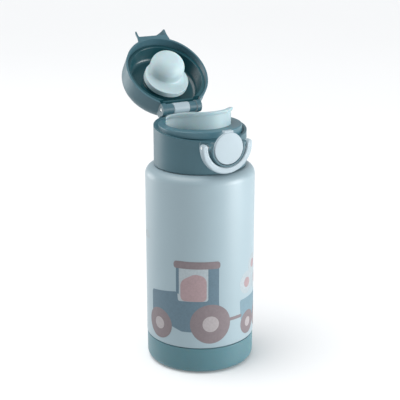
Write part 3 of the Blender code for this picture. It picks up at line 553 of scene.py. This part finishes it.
class BOTTLE_OT_boot(bpy.types.Operator):
    """Soft boot: rolled top edge, rounded foot, recessed underside"""

    bl_idname = "bottle.boot"
    bl_label = "Boot"

    def execute(self, context):
        inner = BOOT_RADIUS - BOOT_WALL
        outline = rounded([
            (0.0, 0.0, 0), (12.0, 0.0, 0.2), (12.6, BOOT_RECESS, 0.2), (25.4, BOOT_RECESS, 0.2),
            (26.0, 0.0, 0.2), (BOOT_RADIUS, 0.0, 4.4), (BOOT_RADIUS, BOOT_TOP, 0.65),
            (inner, BOOT_TOP, 0.35), (inner, BOOT_FLOOR, 3.6), (0.0, BOOT_FLOOR, 0)], steps=8)
        boot = lathe("boot", outline, 160)
        rubber = silicone("boot_silicone", colours().boot, 0.6)
        piece(boot, "soft_boot", "bottle", rubber, ("silicone_boot",))
        return {"FINISHED"}


# ---------------------------------------------------------------- print on the body

def disc(along, z, radius, count=56):
    turns = [2 * math.pi * i / count for i in range(count)]
    return [(along + radius * math.cos(t), z + radius * math.sin(t)) for t in turns]


def inked(name, outline, layer, material):
    """A thin sheet of ink wrapped on the body; the outline is (along, height) in millimetres."""
    thickness = sizes().ink_thickness / MM
    under = BODY_RADIUS - 0.012 + layer * thickness
    bm = bmesh.new()
    bm.faces.new([bm.verts.new((along, 0.0, z)) for along, z in outline])
    start, end = min(p[0] for p in outline), max(p[0] for p in outline)
    strip = 1.0
    for k in range(1, int((end - start) / strip) + 1):
        bmesh.ops.bisect_plane(bm, geom=bm.verts[:] + bm.edges[:] + bm.faces[:], dist=1e-5,
                               plane_co=(start + k * strip, 0, 0), plane_no=(1, 0, 0))
    thicken(bm, (0.0, 1.0, 0.0))
    for vert in bm.verts:
        turn = vert.co.x / BODY_RADIUS
        out = PRINT_FACING * math.cos(turn) + PRINT_ALONG * math.sin(turn)
        radius = under + (thickness if vert.co.y > 0.5 else 0.0)
        vert.co = (out * radius + Vector((0.0, 0.0, vert.co.z))) * MM
    bmesh.ops.recalc_face_normals(bm, faces=bm.faces)
    if bm.calc_volume(signed=True) < 0.0:
        bmesh.ops.reverse_faces(bm, faces=bm.faces)
    piece(link(name, bm), name, "bottle", material, sharp=50)


def inked_patch(name, corners, layer, material):
    """A printed patch with softened corners; heights count from the tractor's wheel centres."""
    up = sizes().print_height / MM
    outline = rounded([(along, up + z, fillet) for along, z, fillet in corners], closed=True)
    inked(name, outline, layer, material)


def inked_disc(name, along, rise, radius, layer, material):
    """A printed round patch; its height counts from the tractor's wheel centres."""
    inked(name, disc(along, sizes().print_height / MM + rise, radius), layer, material)


class BOTTLE_OT_print(bpy.types.Operator):
    """Printed picture: a plain tractor that pulls a cart of bales"""

    bl_idname = "bottle.print"
    bl_label = "Print"

    def execute(self, context):
        tone = colours()
        tractor = ink("ink_tractor", tone.tractor)
        tyre = ink("ink_tyre", tone.tyre)
        hub = ink("ink_hub", tone.hub)
        load = ink("ink_bale", tone.load)
        cart = ink("ink_cart", tone.cart)
        pane = ink("ink_pane", tone.pane)
        inked_patch("print_pane", [
            (-15.0, 15.0, 1), (5.6, 15.0, 1), (5.6, 37.5, 1), (-15.0, 37.5, 1)], 0, pane)
        inked_patch("print_bale", [
            (-12.6, 15.5, 3), (4.2, 15.5, 3), (4.2, 32.0, 6), (-3.5, 34.0, 6), (-12.6, 29.0, 6)], 1, load)
        inked_patch("print_bodywork", [
            (-36.6, -2.0, 1.5), (-20.0, -2.6, 2), (-12.0, -5.5, 3), (13.4, -5.5, 2), (12.2, 15.6, 1),
            (12.2, 38.0, 0.4), (5.2, 38.0, 0.4), (5.2, 15.6, 1.6), (-14.2, 15.2, 1.2), (-14.8, 21.4, 1.5),
            (-36.6, 18.0, 2.2)], 2, tractor)
        inked_patch("print_front_pillar", [
            (-15.6, 20.0, 0.3), (-13.6, 20.0, 0.3), (-13.6, 37.6, 0.3), (-15.6, 37.6, 0.3)], 2, tractor)
        inked_patch("print_roof", [
            (-17.0, 37.2, 1.6), (12.9, 37.2, 1.6), (13.2, 42.0, 2.2), (-17.4, 42.0, 2.2)], 3, tyre)
        for label, along, rise, radius in (("rear", 6.9, 0.0, 13.3), ("front", -29.0, -3.2, 10.2)):
            inked_disc("print_tyre_" + label, along, rise, radius, 3, tyre)
            inked_disc("print_hub_" + label, along, rise, 0.4 * radius, 4, hub)
        inked_patch("print_hitch", [
            (19.4, 0.4, 0.6), (30.0, 0.4, 0.6), (30.0, 2.6, 0.6), (19.4, 2.6, 0.6)], 2, tyre)
        inked_patch("print_cart", [
            (29.6, -3.0, 3), (60.0, -3.0, 3), (61.5, 12.0, 1.5), (28.4, 12.0, 1.5)], 2, cart)
        for label, along, rise, radius in (("one", 36.0, 22.4, 7.6), ("two", 52.0, 21.0, 8.2),
                                           ("three", 44.5, 33.0, 6.6)):
            inked_disc("print_far_bale_" + label, along, rise, radius, 1, pane)
            inked_disc("print_far_core_" + label, along, rise, 0.45 * radius, 2, load)
        for label, along in (("one", 37.2), ("two", 53.5)):
            inked_disc("print_cart_tyre_" + label, along, -5.2, 8.0, 3, tyre)
            inked_disc("print_cart_hub_" + label, along, -5.2, 3.2, 4, hub)
        inked_patch("print_cloud", [
            (-50.0, 50.0, 1.6), (-40.2, 50.0, 1.6), (-40.2, 53.0, 1.4), (-43.4, 55.4, 1.6),
            (-50.0, 53.6, 1.6)], 1, pane)
        return {"FINISHED"}


# ---------------------------------------------------------------- collar

def beyond_parting(below, rise=0.0):
    """A large tool on one side of the sloping plane between collar and lid."""
    reach = 80.0
    low, high = ((-reach, -reach, -reach), (reach, reach, 0.0))
    if not below:
        low, high = ((-reach, -reach, 0.0), (reach, reach, reach))
    tool = slab(low, high)
    place = Matrix.Translation((0, 0, (PARTING_Z + rise) * MM))
    return shift(tool, place @ Matrix.Rotation(PARTING_SLOPE, 4, "X"))


def housing(radius, z, reach, flare=1.0):
    """The round housing about the button, flared where it grows out of the wall."""
    root = radius + 3.2 * flare
    outline = rounded([
        (0.0, reach, 0), (radius, reach, 0.45), (radius, 31.4, 0), (radius + 0.25 * flare, 30.2, 0),
        (radius + 0.8 * flare, 29.2, 0), (radius + 1.8 * flare, 28.0, 0), (root, 26.4, 0), (root, 20.0, 0),
        (0.0, 20.0, 0)])
    return turn_about(lathe("housing", outline, 96), "X", 0, z)


class BOTTLE_OT_collar(bpy.types.Operator):
    """Screw collar: outer wall with its button housing, and the deck inside it"""

    bl_idname = "bottle.collar"
    bl_label = "Collar"

    def execute(self, context):
        teal = moulded("collar_teal", colours().teal)
        wall = lathe("wall", rounded([
            (0.0, 168.0, 0), (COLLAR_RADIUS, 168.0, 0), (COLLAR_RADIUS, COLLAR_FOOT_Z, 0.5),
            (0.0, COLLAR_FOOT_Z, 0)]))
        pads = cross_bar(2.1, -13.1, 13.1, PIVOT_Y, PIVOT_Z, 48)
        weld(wall, housing(HOUSING_RADIUS, BUTTON_Z, HOUSING_FACE), pads)
        carve(wall, beyond_parting(below=False))
        rib = CORE_RADIUS + CLEARANCE
        carve(wall, lathe("inside", [
            (0.0, 180.0), (COLLAR_BORE, 180.0), (COLLAR_BORE, 149.9), (rib, 149.9), (rib, 148.6),
            (COLLAR_BORE, 148.6), (COLLAR_BORE, 120.0), (0.0, 120.0)], 120))
        spring_boss = bar(4.3, (0, -26.2, SPRING_Z), (0, -29.0, SPRING_Z), 48)
        weld(wall, spring_boss)
        bore = bar(HOUSING_BORE, (0, -29.9, BUTTON_Z), (0, -40, BUTTON_Z), 90)
        weld(bore, bar(3.2, (0, -27.4, SPRING_Z), (0, -31, SPRING_Z), 48),
             cross_bar(PIN_BORE, -20, 20, PIVOT_Y, PIVOT_Z, 32))
        carve(wall, bore)
        wall_middle = COLLAR_RADIUS - 0.4
        for side in (-1, 1):
            low, high = sorted((side * KNUCKLE_IN, side * KNUCKLE_OUT))
            pillar = slab((low + 0.15, 25.0, 153.0), (high - 0.15, HINGE_Y + 3.2, HINGE_Z - 0.4))
            carve(pillar, bar(26.9, (0, 0, 150), (0, 0, 157.3), 120), lathe("trim", [
                (36.0, 170.0), (36.0, 140.0), (wall_middle, 140.0), (wall_middle, 170.0)], closed=True))
            knuckle = cross_bar(KNUCKLE_RADIUS, low, high, HINGE_Y, HINGE_Z)
            weld(wall, pillar, knuckle)
        carve(wall, cross_bar(HINGE_BORE, -20, 20, HINGE_Y, HINGE_Z, 32))
        soften(wall, sizes().edge_round / MM)
        piece(wall, "collar_wall", "collar", teal, ("collar_shell",))

        # The deck's colour is the collar's teal made 1.3 times lighter: painted top light on the flat
        # deck. Its roughness of 0.3 makes it glossier than the wall.
        top_lit_teal = moulded("deck_teal_painted_top_light", Vector(colours().teal) * 1.3, 0.3)
        deck = lathe("deck", rounded([
            (DECK_RADIUS, DECK_Z, 0.7), (DECK_RADIUS, 152.9, 0.2), (CORE_RADIUS, 152.4, 0.1),
            (CORE_RADIUS, CORE_FOOT_Z, 0.3), (CORE_BORE, CORE_FOOT_Z, 0.3), (CORE_BORE, DECK_UNDER_Z, 0.3),
            (22.0, DECK_UNDER_Z, 0), (22.0, DECK_Z, 0)], closed=True), closed=True)
        fill = lathe("deck_plate", [
            (0.0, DECK_Z), (22.5, DECK_Z), (22.5, DECK_UNDER_Z), (0.0, DECK_UNDER_Z)])
        weld(deck, fill)
        carve(deck, bar(DECK_HOLE, (0, SPOUT_Y, 150), (0, SPOUT_Y, 160), 120))
        weld(deck, thread("cap_ridge", CORE_BORE, CORE_BORE - 1.0, CAP_THREAD_Z))
        piece(deck, "collar_deck", "collar", top_lit_teal, ("collar_core",))
        # The spout retainer gets the same teal with painted top light.
        refinish("spout_retainer", top_lit_teal)
        refinish("neck_gasket", silicone("seal_silicone", (0.72, 0.75, 0.74)))
        return {"FINISHED"}


# ---------------------------------------------------------------- spout

def spout_rise(forward):
    """Height of the rim over the deck for a direction: 1 is straight ahead, -1 towards the hinge."""
    share = max(0.0, (forward + 0.5) / 1.5)
    return 0.3 + 10.7 * math.sin(share * math.pi / 2) ** 0.75


def spout_ring(forward, band_depth):
    """Section of the spout in one direction, as (radius, height, 1 where it follows the throat)."""
    rise = spout_rise(forward)
    lip = min(1.0, max(0.0, (rise - 2.0) / 5.0))
    lip = lip * lip * (3 - 2 * lip)
    flare = SPOUT_FLARE * lip
    rim = DECK_Z + rise
    band = 0.4 + (band_depth - 0.4) * lip
    bore, wall = SPOUT_BORE, SPOUT_WALL
    outer = wall + flare
    return [
        (21.4, 155.0, 0), (21.4, 153.0, 0), (13.4, 153.0, 1), (13.4, 148.2, 1), (13.2, 148.0, 1),
        (11.8, 148.0, 1), (11.6, 148.2, 1), (11.6, 150.5, 1), (12.3, 152.8, 1), (12.9, 154.6, 1),
        (13.2, 155.1, 1), (13.7, 155.2, 1),
        (bore - 1.4, 155.2, 0), (bore - 0.5, 155.45, 0), (bore - 0.1, 156.1, 0), (bore, 157.0, 0),
        (bore, max(157.05, rim - band - 1.0), 0), (bore + 0.1 * flare, max(157.1, rim - 0.55 * band), 0),
        (bore + 0.3 * flare + 0.15, rim - 0.22, 0), (bore + 0.5 * flare + 0.5, rim - 0.03, 0),
        (outer - 0.55, rim, 0), (outer - 0.15, rim - 0.12, 0), (outer, rim - 0.36, 0),
        (outer - 0.05 * flare, rim - 0.6 * band, 0), (wall + 0.62 * flare, rim - 0.96 * band, 0),
        (wall + 0.5 * flare, rim - band - 0.06, 0), (wall, rim - band - 0.1, 0), (wall, 155.0, 0),
    ]


class BOTTLE_OT_spout(bpy.types.Operator):
    """Soft spout: sloping cup with a rolled lip, a bowl and a throat"""

    bl_idname = "bottle.spout"
    bl_label = "Spout"

    def execute(self, context):
        rings = []
        steps = 144
        for i in range(steps):
            angle = 2 * math.pi * i / steps
            section = spout_ring(-math.sin(angle), sizes().lip_band / MM)
            rings.append([(r * math.cos(angle), r * math.sin(angle) + (STOPPER_Y if t else SPOUT_Y), z)
                          for r, z, t in section])
        spout = loft("spout", rings)
        air_hole = bar(0.9, (0, 16, 150), (0, 16, 160), 32)
        carve(spout, air_hole)
        rubber = silicone("spout_silicone", colours().soft, 1.6)
        piece(spout, "soft_spout", "collar", rubber, ("drinking_spout",), sharp=48)
        return {"FINISHED"}


# ---------------------------------------------------------------- button and lock ring

class BOTTLE_OT_button(bpy.types.Operator):
    """Release button with its latch, the lock ring, the hinge sleeve and the metal of pins and springs"""

    bl_idname = "bottle.button"
    bl_label = "Button and ring"

    def execute(self, context):
        pale = moulded("button_blue", colours().pale, 0.38)
        face, back = BUTTON_FACE, BUTTON_BACK
        button = turn_about(lathe("button", rounded([
            (0.0, face, 0), (7.0, face - 0.02, 0), (BUTTON_RADIUS, face - 0.06, 0.6),
            (BUTTON_RADIUS, back, 0.2), (0.0, back, 0)]), 96), "X", 0, BUTTON_Z)
        latch_tab = slab((-3.0, -35.7, 157.3), (3.0, -34.5, 159.1))
        latch_hook = slab((-3.0, -35.0, 158.3), (3.0, -32.6, 159.05))
        spring_peg = bar(1.5, (0, -34.8, SPRING_Z), (0, -33.2, SPRING_Z), 32)
        weld(button, latch_tab, latch_hook, spring_peg)
        for side in (-1, 1):
            low, high = sorted((side * 4.0, side * 6.4))
            weld(button, slab((low, -34.9, PIVOT_Z - 2.3), (high, PIVOT_Y, PIVOT_Z + 2.3)),
                 cross_bar(2.35, low - 0.01, high + 0.01, PIVOT_Y, PIVOT_Z, 40))
        carve(button, cross_bar(PIN_BORE, -9, 9, PIVOT_Y, PIVOT_Z, 32))
        soften(button, 0.2)
        piece(button, "push_button", "button", pale, ("release_button",))

        middle, half, depth = RING_RADIUS, RING_HALF_WIDTH, RING_DEPTH
        outline = arc(0.0, 0.0, middle + half, 180, 360, 56)
        outline += arc(middle, 0.0, half, 15, 165, 14)
        outline += arc(0.0, 0.0, middle - half, 360, 180, 48)
        outline += arc(-middle, 0.0, half, 15, 165, 14)
        bm = bmesh.new()
        bm.faces.new([bm.verts.new((x * MM, -depth / 2 * MM, z * MM)) for x, z in outline])
        thicken(bm, (0, depth * MM, 0))
        bmesh.ops.recalc_face_normals(bm, faces=bm.faces)
        ring = link("ring", bm)
        soften(ring, 1.15, segments=5, angle=50)
        shift(ring, Matrix.Translation((0, PIVOT_Y * MM, PIVOT_Z * MM)))
        carve(ring, cross_bar(PIN_BORE, -20, 20, PIVOT_Y, PIVOT_Z, 32))
        piece(ring, "swing_ring", "ring", pale, ("lock_ring",))

        metal = steel("pin_steel")
        for name in ("front_pivot_pin", "hinge_pin", "holder_screw_front", "holder_screw_back"):
            refinish(name, metal)
        wire = steel("spring_wire", (0.5, 0.5, 0.5))
        for name in ("button_spring", "hinge_spring"):
            refinish(name, wire)

        sleeve = lathe("sleeve", rounded([
            (SLEEVE_BORE, -SLEEVE_HALF, 0), (SLEEVE_RADIUS, -SLEEVE_HALF, 0.35),
            (SLEEVE_RADIUS, SLEEVE_HALF, 0.35), (SLEEVE_BORE, SLEEVE_HALF, 0)]), 64, closed=True)
        turn_about(sleeve, "Y", HINGE_Y, HINGE_Z)
        piece(sleeve, "barrel_sleeve", "collar", pale, ("hinge_sleeve",))
        return {"FINISHED"}


# ---------------------------------------------------------------- lid

class BOTTLE_OT_lid(bpy.types.Operator):
    """Flip lid: domed cover with its hood and hinge ears, and the lining inside"""

    bl_idname = "bottle.lid"
    bl_label = "Lid"

    def execute(self, context):
        teal = moulded("lid_teal", colours().teal)
        middle, crown = LID_RADIUS - LID_CORNER, LID_TOP_Z - LID_CORNER - 0.5
        dome = [(0.0, LID_TOP_Z), (6.0, LID_TOP_Z - 0.03), (12.0, LID_TOP_Z - 0.15)]
        dome += arc(middle, crown, LID_CORNER, 86, 0, 14) + [(LID_RADIUS, 142.0), (0.0, 142.0)]
        cover = lathe("cover", dome)
        weld(cover, housing(HOOD_RADIUS, HOOD_Z, HOOD_FACE, flare=0.25))
        carve(cover, beyond_parting(below=True, rise=CLEARANCE))
        under = LID_TOP_Z - LID_WALL
        hollow = [(0.0, under), (12.0, under - 0.15)]
        hollow += arc(middle, crown, LID_CORNER - LID_WALL, 86, 0, 12)
        hollow += [(LID_RADIUS - LID_WALL, 130.0), (0.0, 130.0)]
        latch_window = slab((-3.5, -42, 155), (3.5, -31.6, 159.5))
        carve(cover, lathe("hollow", hollow),
              bar(HOUSING_BORE, (0, -29.7, BUTTON_Z), (0, -42, BUTTON_Z), 90), latch_window)
        catch_plate = slab((-2.7, -32.25, 157.1), (2.7, -31.0, 160.3))
        catch_hook = slab((-2.7, -33.5, 157.1), (2.7, -31.5, 158.0))
        weld(cover, catch_plate, catch_hook)
        hinge_notch = slab((-14.6, 21.9, 140), (14.6, 34, HINGE_Z + 3.9))
        carve(cover, hinge_notch)
        for side in (-1, 1):
            low, high = sorted((side * EAR_IN, side * EAR_OUT))
            arm_low = (low + 0.01, HINGE_Y - 2.6, HINGE_Z)
            arm_high = (high - 0.01, HINGE_Y + 2.2, HINGE_Z + 6.2)
            weld(cover, cross_bar(EAR_RADIUS, low, high, HINGE_Y, HINGE_Z), slab(arm_low, arm_high))
        collar_room = bar(COLLAR_RADIUS + 0.4, (0, 0, 120), (0, 0, 165), 120)
        carve(collar_room, beyond_parting(below=False, rise=CLEARANCE))
        knuckle_room = cross_bar(3.95, -10.95, 10.95, HINGE_Y, HINGE_Z)
        pillar_room = slab((-10.95, 24, 150), (10.95, HINGE_Y + 3.7, HINGE_Z - 0.2))
        carve(cover, knuckle_room, cross_bar(HINGE_BORE, -20, 20, HINGE_Y, HINGE_Z, 32),
              collar_room, pillar_room)
        soften(cover, sizes().edge_round / MM)
        piece(swung_open(cover), "lid_dome", "lid", teal, ("lid_cover",))

        foot, lip = LINER_FOOT_Z, LINER_FOOT_Z + 1.3
        outer, top = LINER_BOWL + LINER_WALL, LINER_CEILING_Z + LINER_WALL
        lining = lathe("lining", rounded([
            (0.0, top, 0), (outer, top, 4.0), (outer, lip, 0.2), (26.5, lip, 0.3), (26.5, foot, 0.4),
            (LINER_BOWL, foot, 0.5), (LINER_BOWL, LINER_CEILING_Z, 3.2), (0.0, LINER_CEILING_Z, 0)],
            steps=8))
        hinge_gap = slab((-14.7, 21.6, 150), (14.7, 34, 166.6))
        carve(lining, hinge_gap)
        bulkhead = slab((-15.2, 20.3, 160.6), (15.2, 21.5, 168.0))
        weld(lining, bulkhead)
        screw_places = (STOPPER_Y - SCREW_OFFSET, STOPPER_Y + SCREW_OFFSET)
        for y in screw_places:
            weld(lining, bar(2.6, (0, y, LINER_CEILING_Z + 0.5), (0, y, 173.2), 32))
            carve(lining, bar(SCREW_ROOM, (0, y, 150), (0, y, 172.5), 32))
        soften(lining, 0.25)
        glossy = finish("lining_plastic", colours().lid_inside, 0.28, grain=1800.0, depth=0.02,
                        strength=0.05, Coat_Weight=0.25, Coat_Roughness=0.15, Specular_IOR_Level=0.3)
        piece(swung_open(lining), "lid_bowl", "lid", glossy, ("lid_liner",))

        holder = lathe("holder", rounded([
            (0.0, 169.0, 0), (12.5, 169.0, 0.4), (12.5, 167.6, 0.4), (6.2, 167.6, 0.6), (6.2, 165.7, 0.6),
            (10.5, 164.7, 0.4), (10.5, 163.2, 0.2), (4.0, 163.2, 0.1), (4.0, 155.0, 0.3),
            (0.0, 155.0, 0)]), 96)
        shift(holder, Matrix.Translation((0, STOPPER_Y * MM, 0)))
        carve(holder, *(bar(SCREW_ROOM, (0, y, 164), (0, y, 175), 32) for y in screw_places))
        piece(swung_open(holder), "plug_holder", "lid", glossy, ("stopper_holder",))
        return {"FINISHED"}


# ---------------------------------------------------------------- stopper

class BOTTLE_OT_stopper(bpy.types.Operator):
    """Soft stopper: blunt nose that sweeps out into a brim set back towards the hinge"""

    bl_idname = "bottle.stopper"
    bl_label = "Stopper"

    def execute(self, context):
        fillet = 2.9
        sweep_z = BRIM_LOW_Z - fillet
        outline = [(0.0, NOSE_TIP_Z + 0.04), (1.6, NOSE_TIP_Z + 0.06)]
        outline += arc(NOSE_RADIUS - NOSE_CORNER, NOSE_CORNER_Z, NOSE_CORNER, -81, 0, 24)
        outline += arc(NOSE_RADIUS + fillet, sweep_z, fillet, 180, 102, 14)
        outline += rounded([(BRIM_RADIUS - 1.2, BRIM_LOW_Z, 0), (BRIM_RADIUS - 0.1, BRIM_LOW_Z, 0.7),
                            (BRIM_RADIUS, BRIM_TOP_Z, 0.7), (0.0, BRIM_TOP_Z, 0)])
        plug = lathe("plug", outline, 96)
        for vert in plug.data.vertices:
            share = min(1.0, max(0.0, (vert.co.z / MM - sweep_z) / fillet))
            vert.co.y += (STOPPER_Y + (BRIM_Y - STOPPER_Y) * share * share) * MM
        carve(plug, bar(4.3, (0, STOPPER_Y, 154.7), (0, STOPPER_Y, 170), 64))
        rubber = silicone("stopper_silicone", colours().stopper, 1.6)
        piece(swung_open(plug), "soft_stopper", "lid", rubber, ("stopper_plug",),
              sharp=60)
        return {"FINISHED"}


# ---------------------------------------------------------------- stage

class BOTTLE_OT_stage(bpy.types.Operator):
    """Pale floor, soft lights and the camera"""

    bl_idname = "bottle.stage"
    bl_label = "Stage"

    def execute(self, context):
        scene = context.scene
        stage = scene.bottle_stage
        bm = bmesh.new()
        bmesh.ops.create_grid(bm, x_segments=8, y_segments=8, size=stage.floor_size / 2)
        floor = link("floor", bm)
        floor.location.z = -FLOOR_DROP
        paper = finish("floor_paper", (0.8, 0.805, 0.81), 0.75, grain=float(stage.floor_grain),
                       depth=0.2, strength=0.05, mottle=0.006, patch=1.2)
        floor.data.materials.append(paper)

        world = bpy.data.worlds.new("studio")
        world.use_nodes = True
        background = world.node_tree.nodes["Background"]
        background.inputs["Color"].default_value = (0.97, 0.985, 1.0, 1.0)
        tree = world.node_tree
        # the backdrop seen past the floor stays white while the surround lights the bottle softly
        seen = node(tree, "ShaderNodeLightPath", (-600, 0)).outputs["Is Camera Ray"]
        level = node(tree, "ShaderNodeMapRange", (-400, 0))
        level.inputs["To Min"].default_value = stage.surround
        level.inputs["To Max"].default_value = 1.05
        tree.links.new(seen, level.inputs["Value"])
        tree.links.new(level.outputs["Result"], background.inputs["Strength"])
        scene.world = world
        scene.view_settings.view_transform = "Standard"
        scene.view_settings.look = "None"

        toward, right = PRINT_FACING, PRINT_ALONG
        above = Vector((0.0, 0.0, 1.0))
        aim = Vector((0.0, 0.0, 0.1))
        side_place = aim + right * 0.9 + toward * 0.22 + above * 0.04
        edge_place = aim - right * 0.85 - toward * 0.5 + above * 0.04
        side = softbox("side_softbox", side_place, aim, 0.5, stage.side_light)
        edge = softbox("edge_softbox", edge_place, aim, 0.5, stage.edge_light)
        for lamp in (side, edge):
            lamp.data.use_shadow = False
        sky = bpy.data.lights.new("sky_panel", "SUN")
        sky.energy = stage.top_light
        sky.angle = math.radians(50.0)
        overhead = bpy.data.objects.new("sky_panel", sky)
        slant = right * 0.36 - toward * 0.08 - above
        overhead.rotation_euler = slant.to_track_quat("-Z", "Y").to_euler()
        scene.collection.objects.link(overhead)

        camera = bpy.data.objects.new("camera", bpy.data.cameras.new("camera"))
        scene.collection.objects.link(camera)
        camera.data.sensor_width = 36.0
        camera.data.lens = LENS_MM
        camera.data.clip_start = 0.02
        camera.location = CAMERA_PLACE
        level_look = math.cos(VIEW_PITCH)
        look = Vector((math.sin(VIEW_AZIMUTH) * level_look, math.cos(VIEW_AZIMUTH) * level_look,
                       -math.sin(VIEW_PITCH)))
        camera.rotation_euler = look.to_track_quat("-Z", "Y").to_euler()
        scene.camera = camera
        return {"FINISHED"}


def softbox(name, place, aim, size, power):
    light = bpy.data.lights.new(name, "AREA")
    light.shape = "SQUARE"
    light.size = size
    light.energy = power
    lamp = bpy.data.objects.new(name, light)
    lamp.location = place
    lamp.rotation_euler = (aim - Vector(place)).to_track_quat("-Z", "Y").to_euler()
    bpy.context.scene.collection.objects.link(lamp)
    return lamp


# ---------------------------------------------------------------- panel and registration

STEPS_IN_ORDER = ("body", "boot", "print", "collar", "spout", "button", "lid", "stopper", "stage")


class BOTTLE_PT_panel(bpy.types.Panel):
    """Sidebar panel of the bottle's pieces"""

    bl_label = "Kids Water Bottle"
    bl_space_type = "VIEW_3D"
    bl_region_type = "UI"
    bl_category = "Bottle"

    def draw(self, context):
        layout = self.layout
        scene = context.scene
        for step in STEPS_IN_ORDER:
            layout.operator("bottle." + step)
        for group in (scene.bottle_sizes, scene.bottle_colours, scene.bottle_stage):
            box = layout.box()
            for key in group.__annotations__:
                box.prop(group, key)


CLASSES = (
    BottleColours, BottleSizes, BottleStage, BOTTLE_OT_body, BOTTLE_OT_boot, BOTTLE_OT_print,
    BOTTLE_OT_collar, BOTTLE_OT_spout, BOTTLE_OT_button, BOTTLE_OT_lid, BOTTLE_OT_stopper,
    BOTTLE_OT_stage, BOTTLE_PT_panel,
)


def register():
    for cls in CLASSES:
        bpy.utils.register_class(cls)
    bpy.types.Scene.bottle_colours = PointerProperty(type=BottleColours)
    bpy.types.Scene.bottle_sizes = PointerProperty(type=BottleSizes)
    bpy.types.Scene.bottle_stage = PointerProperty(type=BottleStage)


def unregister():
    for name in ("bottle_colours", "bottle_sizes", "bottle_stage"):
        delattr(bpy.types.Scene, name)
    for cls in reversed(CLASSES):
        bpy.utils.unregister_class(cls)


def main():
    register()
    for step in STEPS_IN_ORDER:
        getattr(bpy.ops.bottle, step)()


if __name__ == "__main__":
    main()
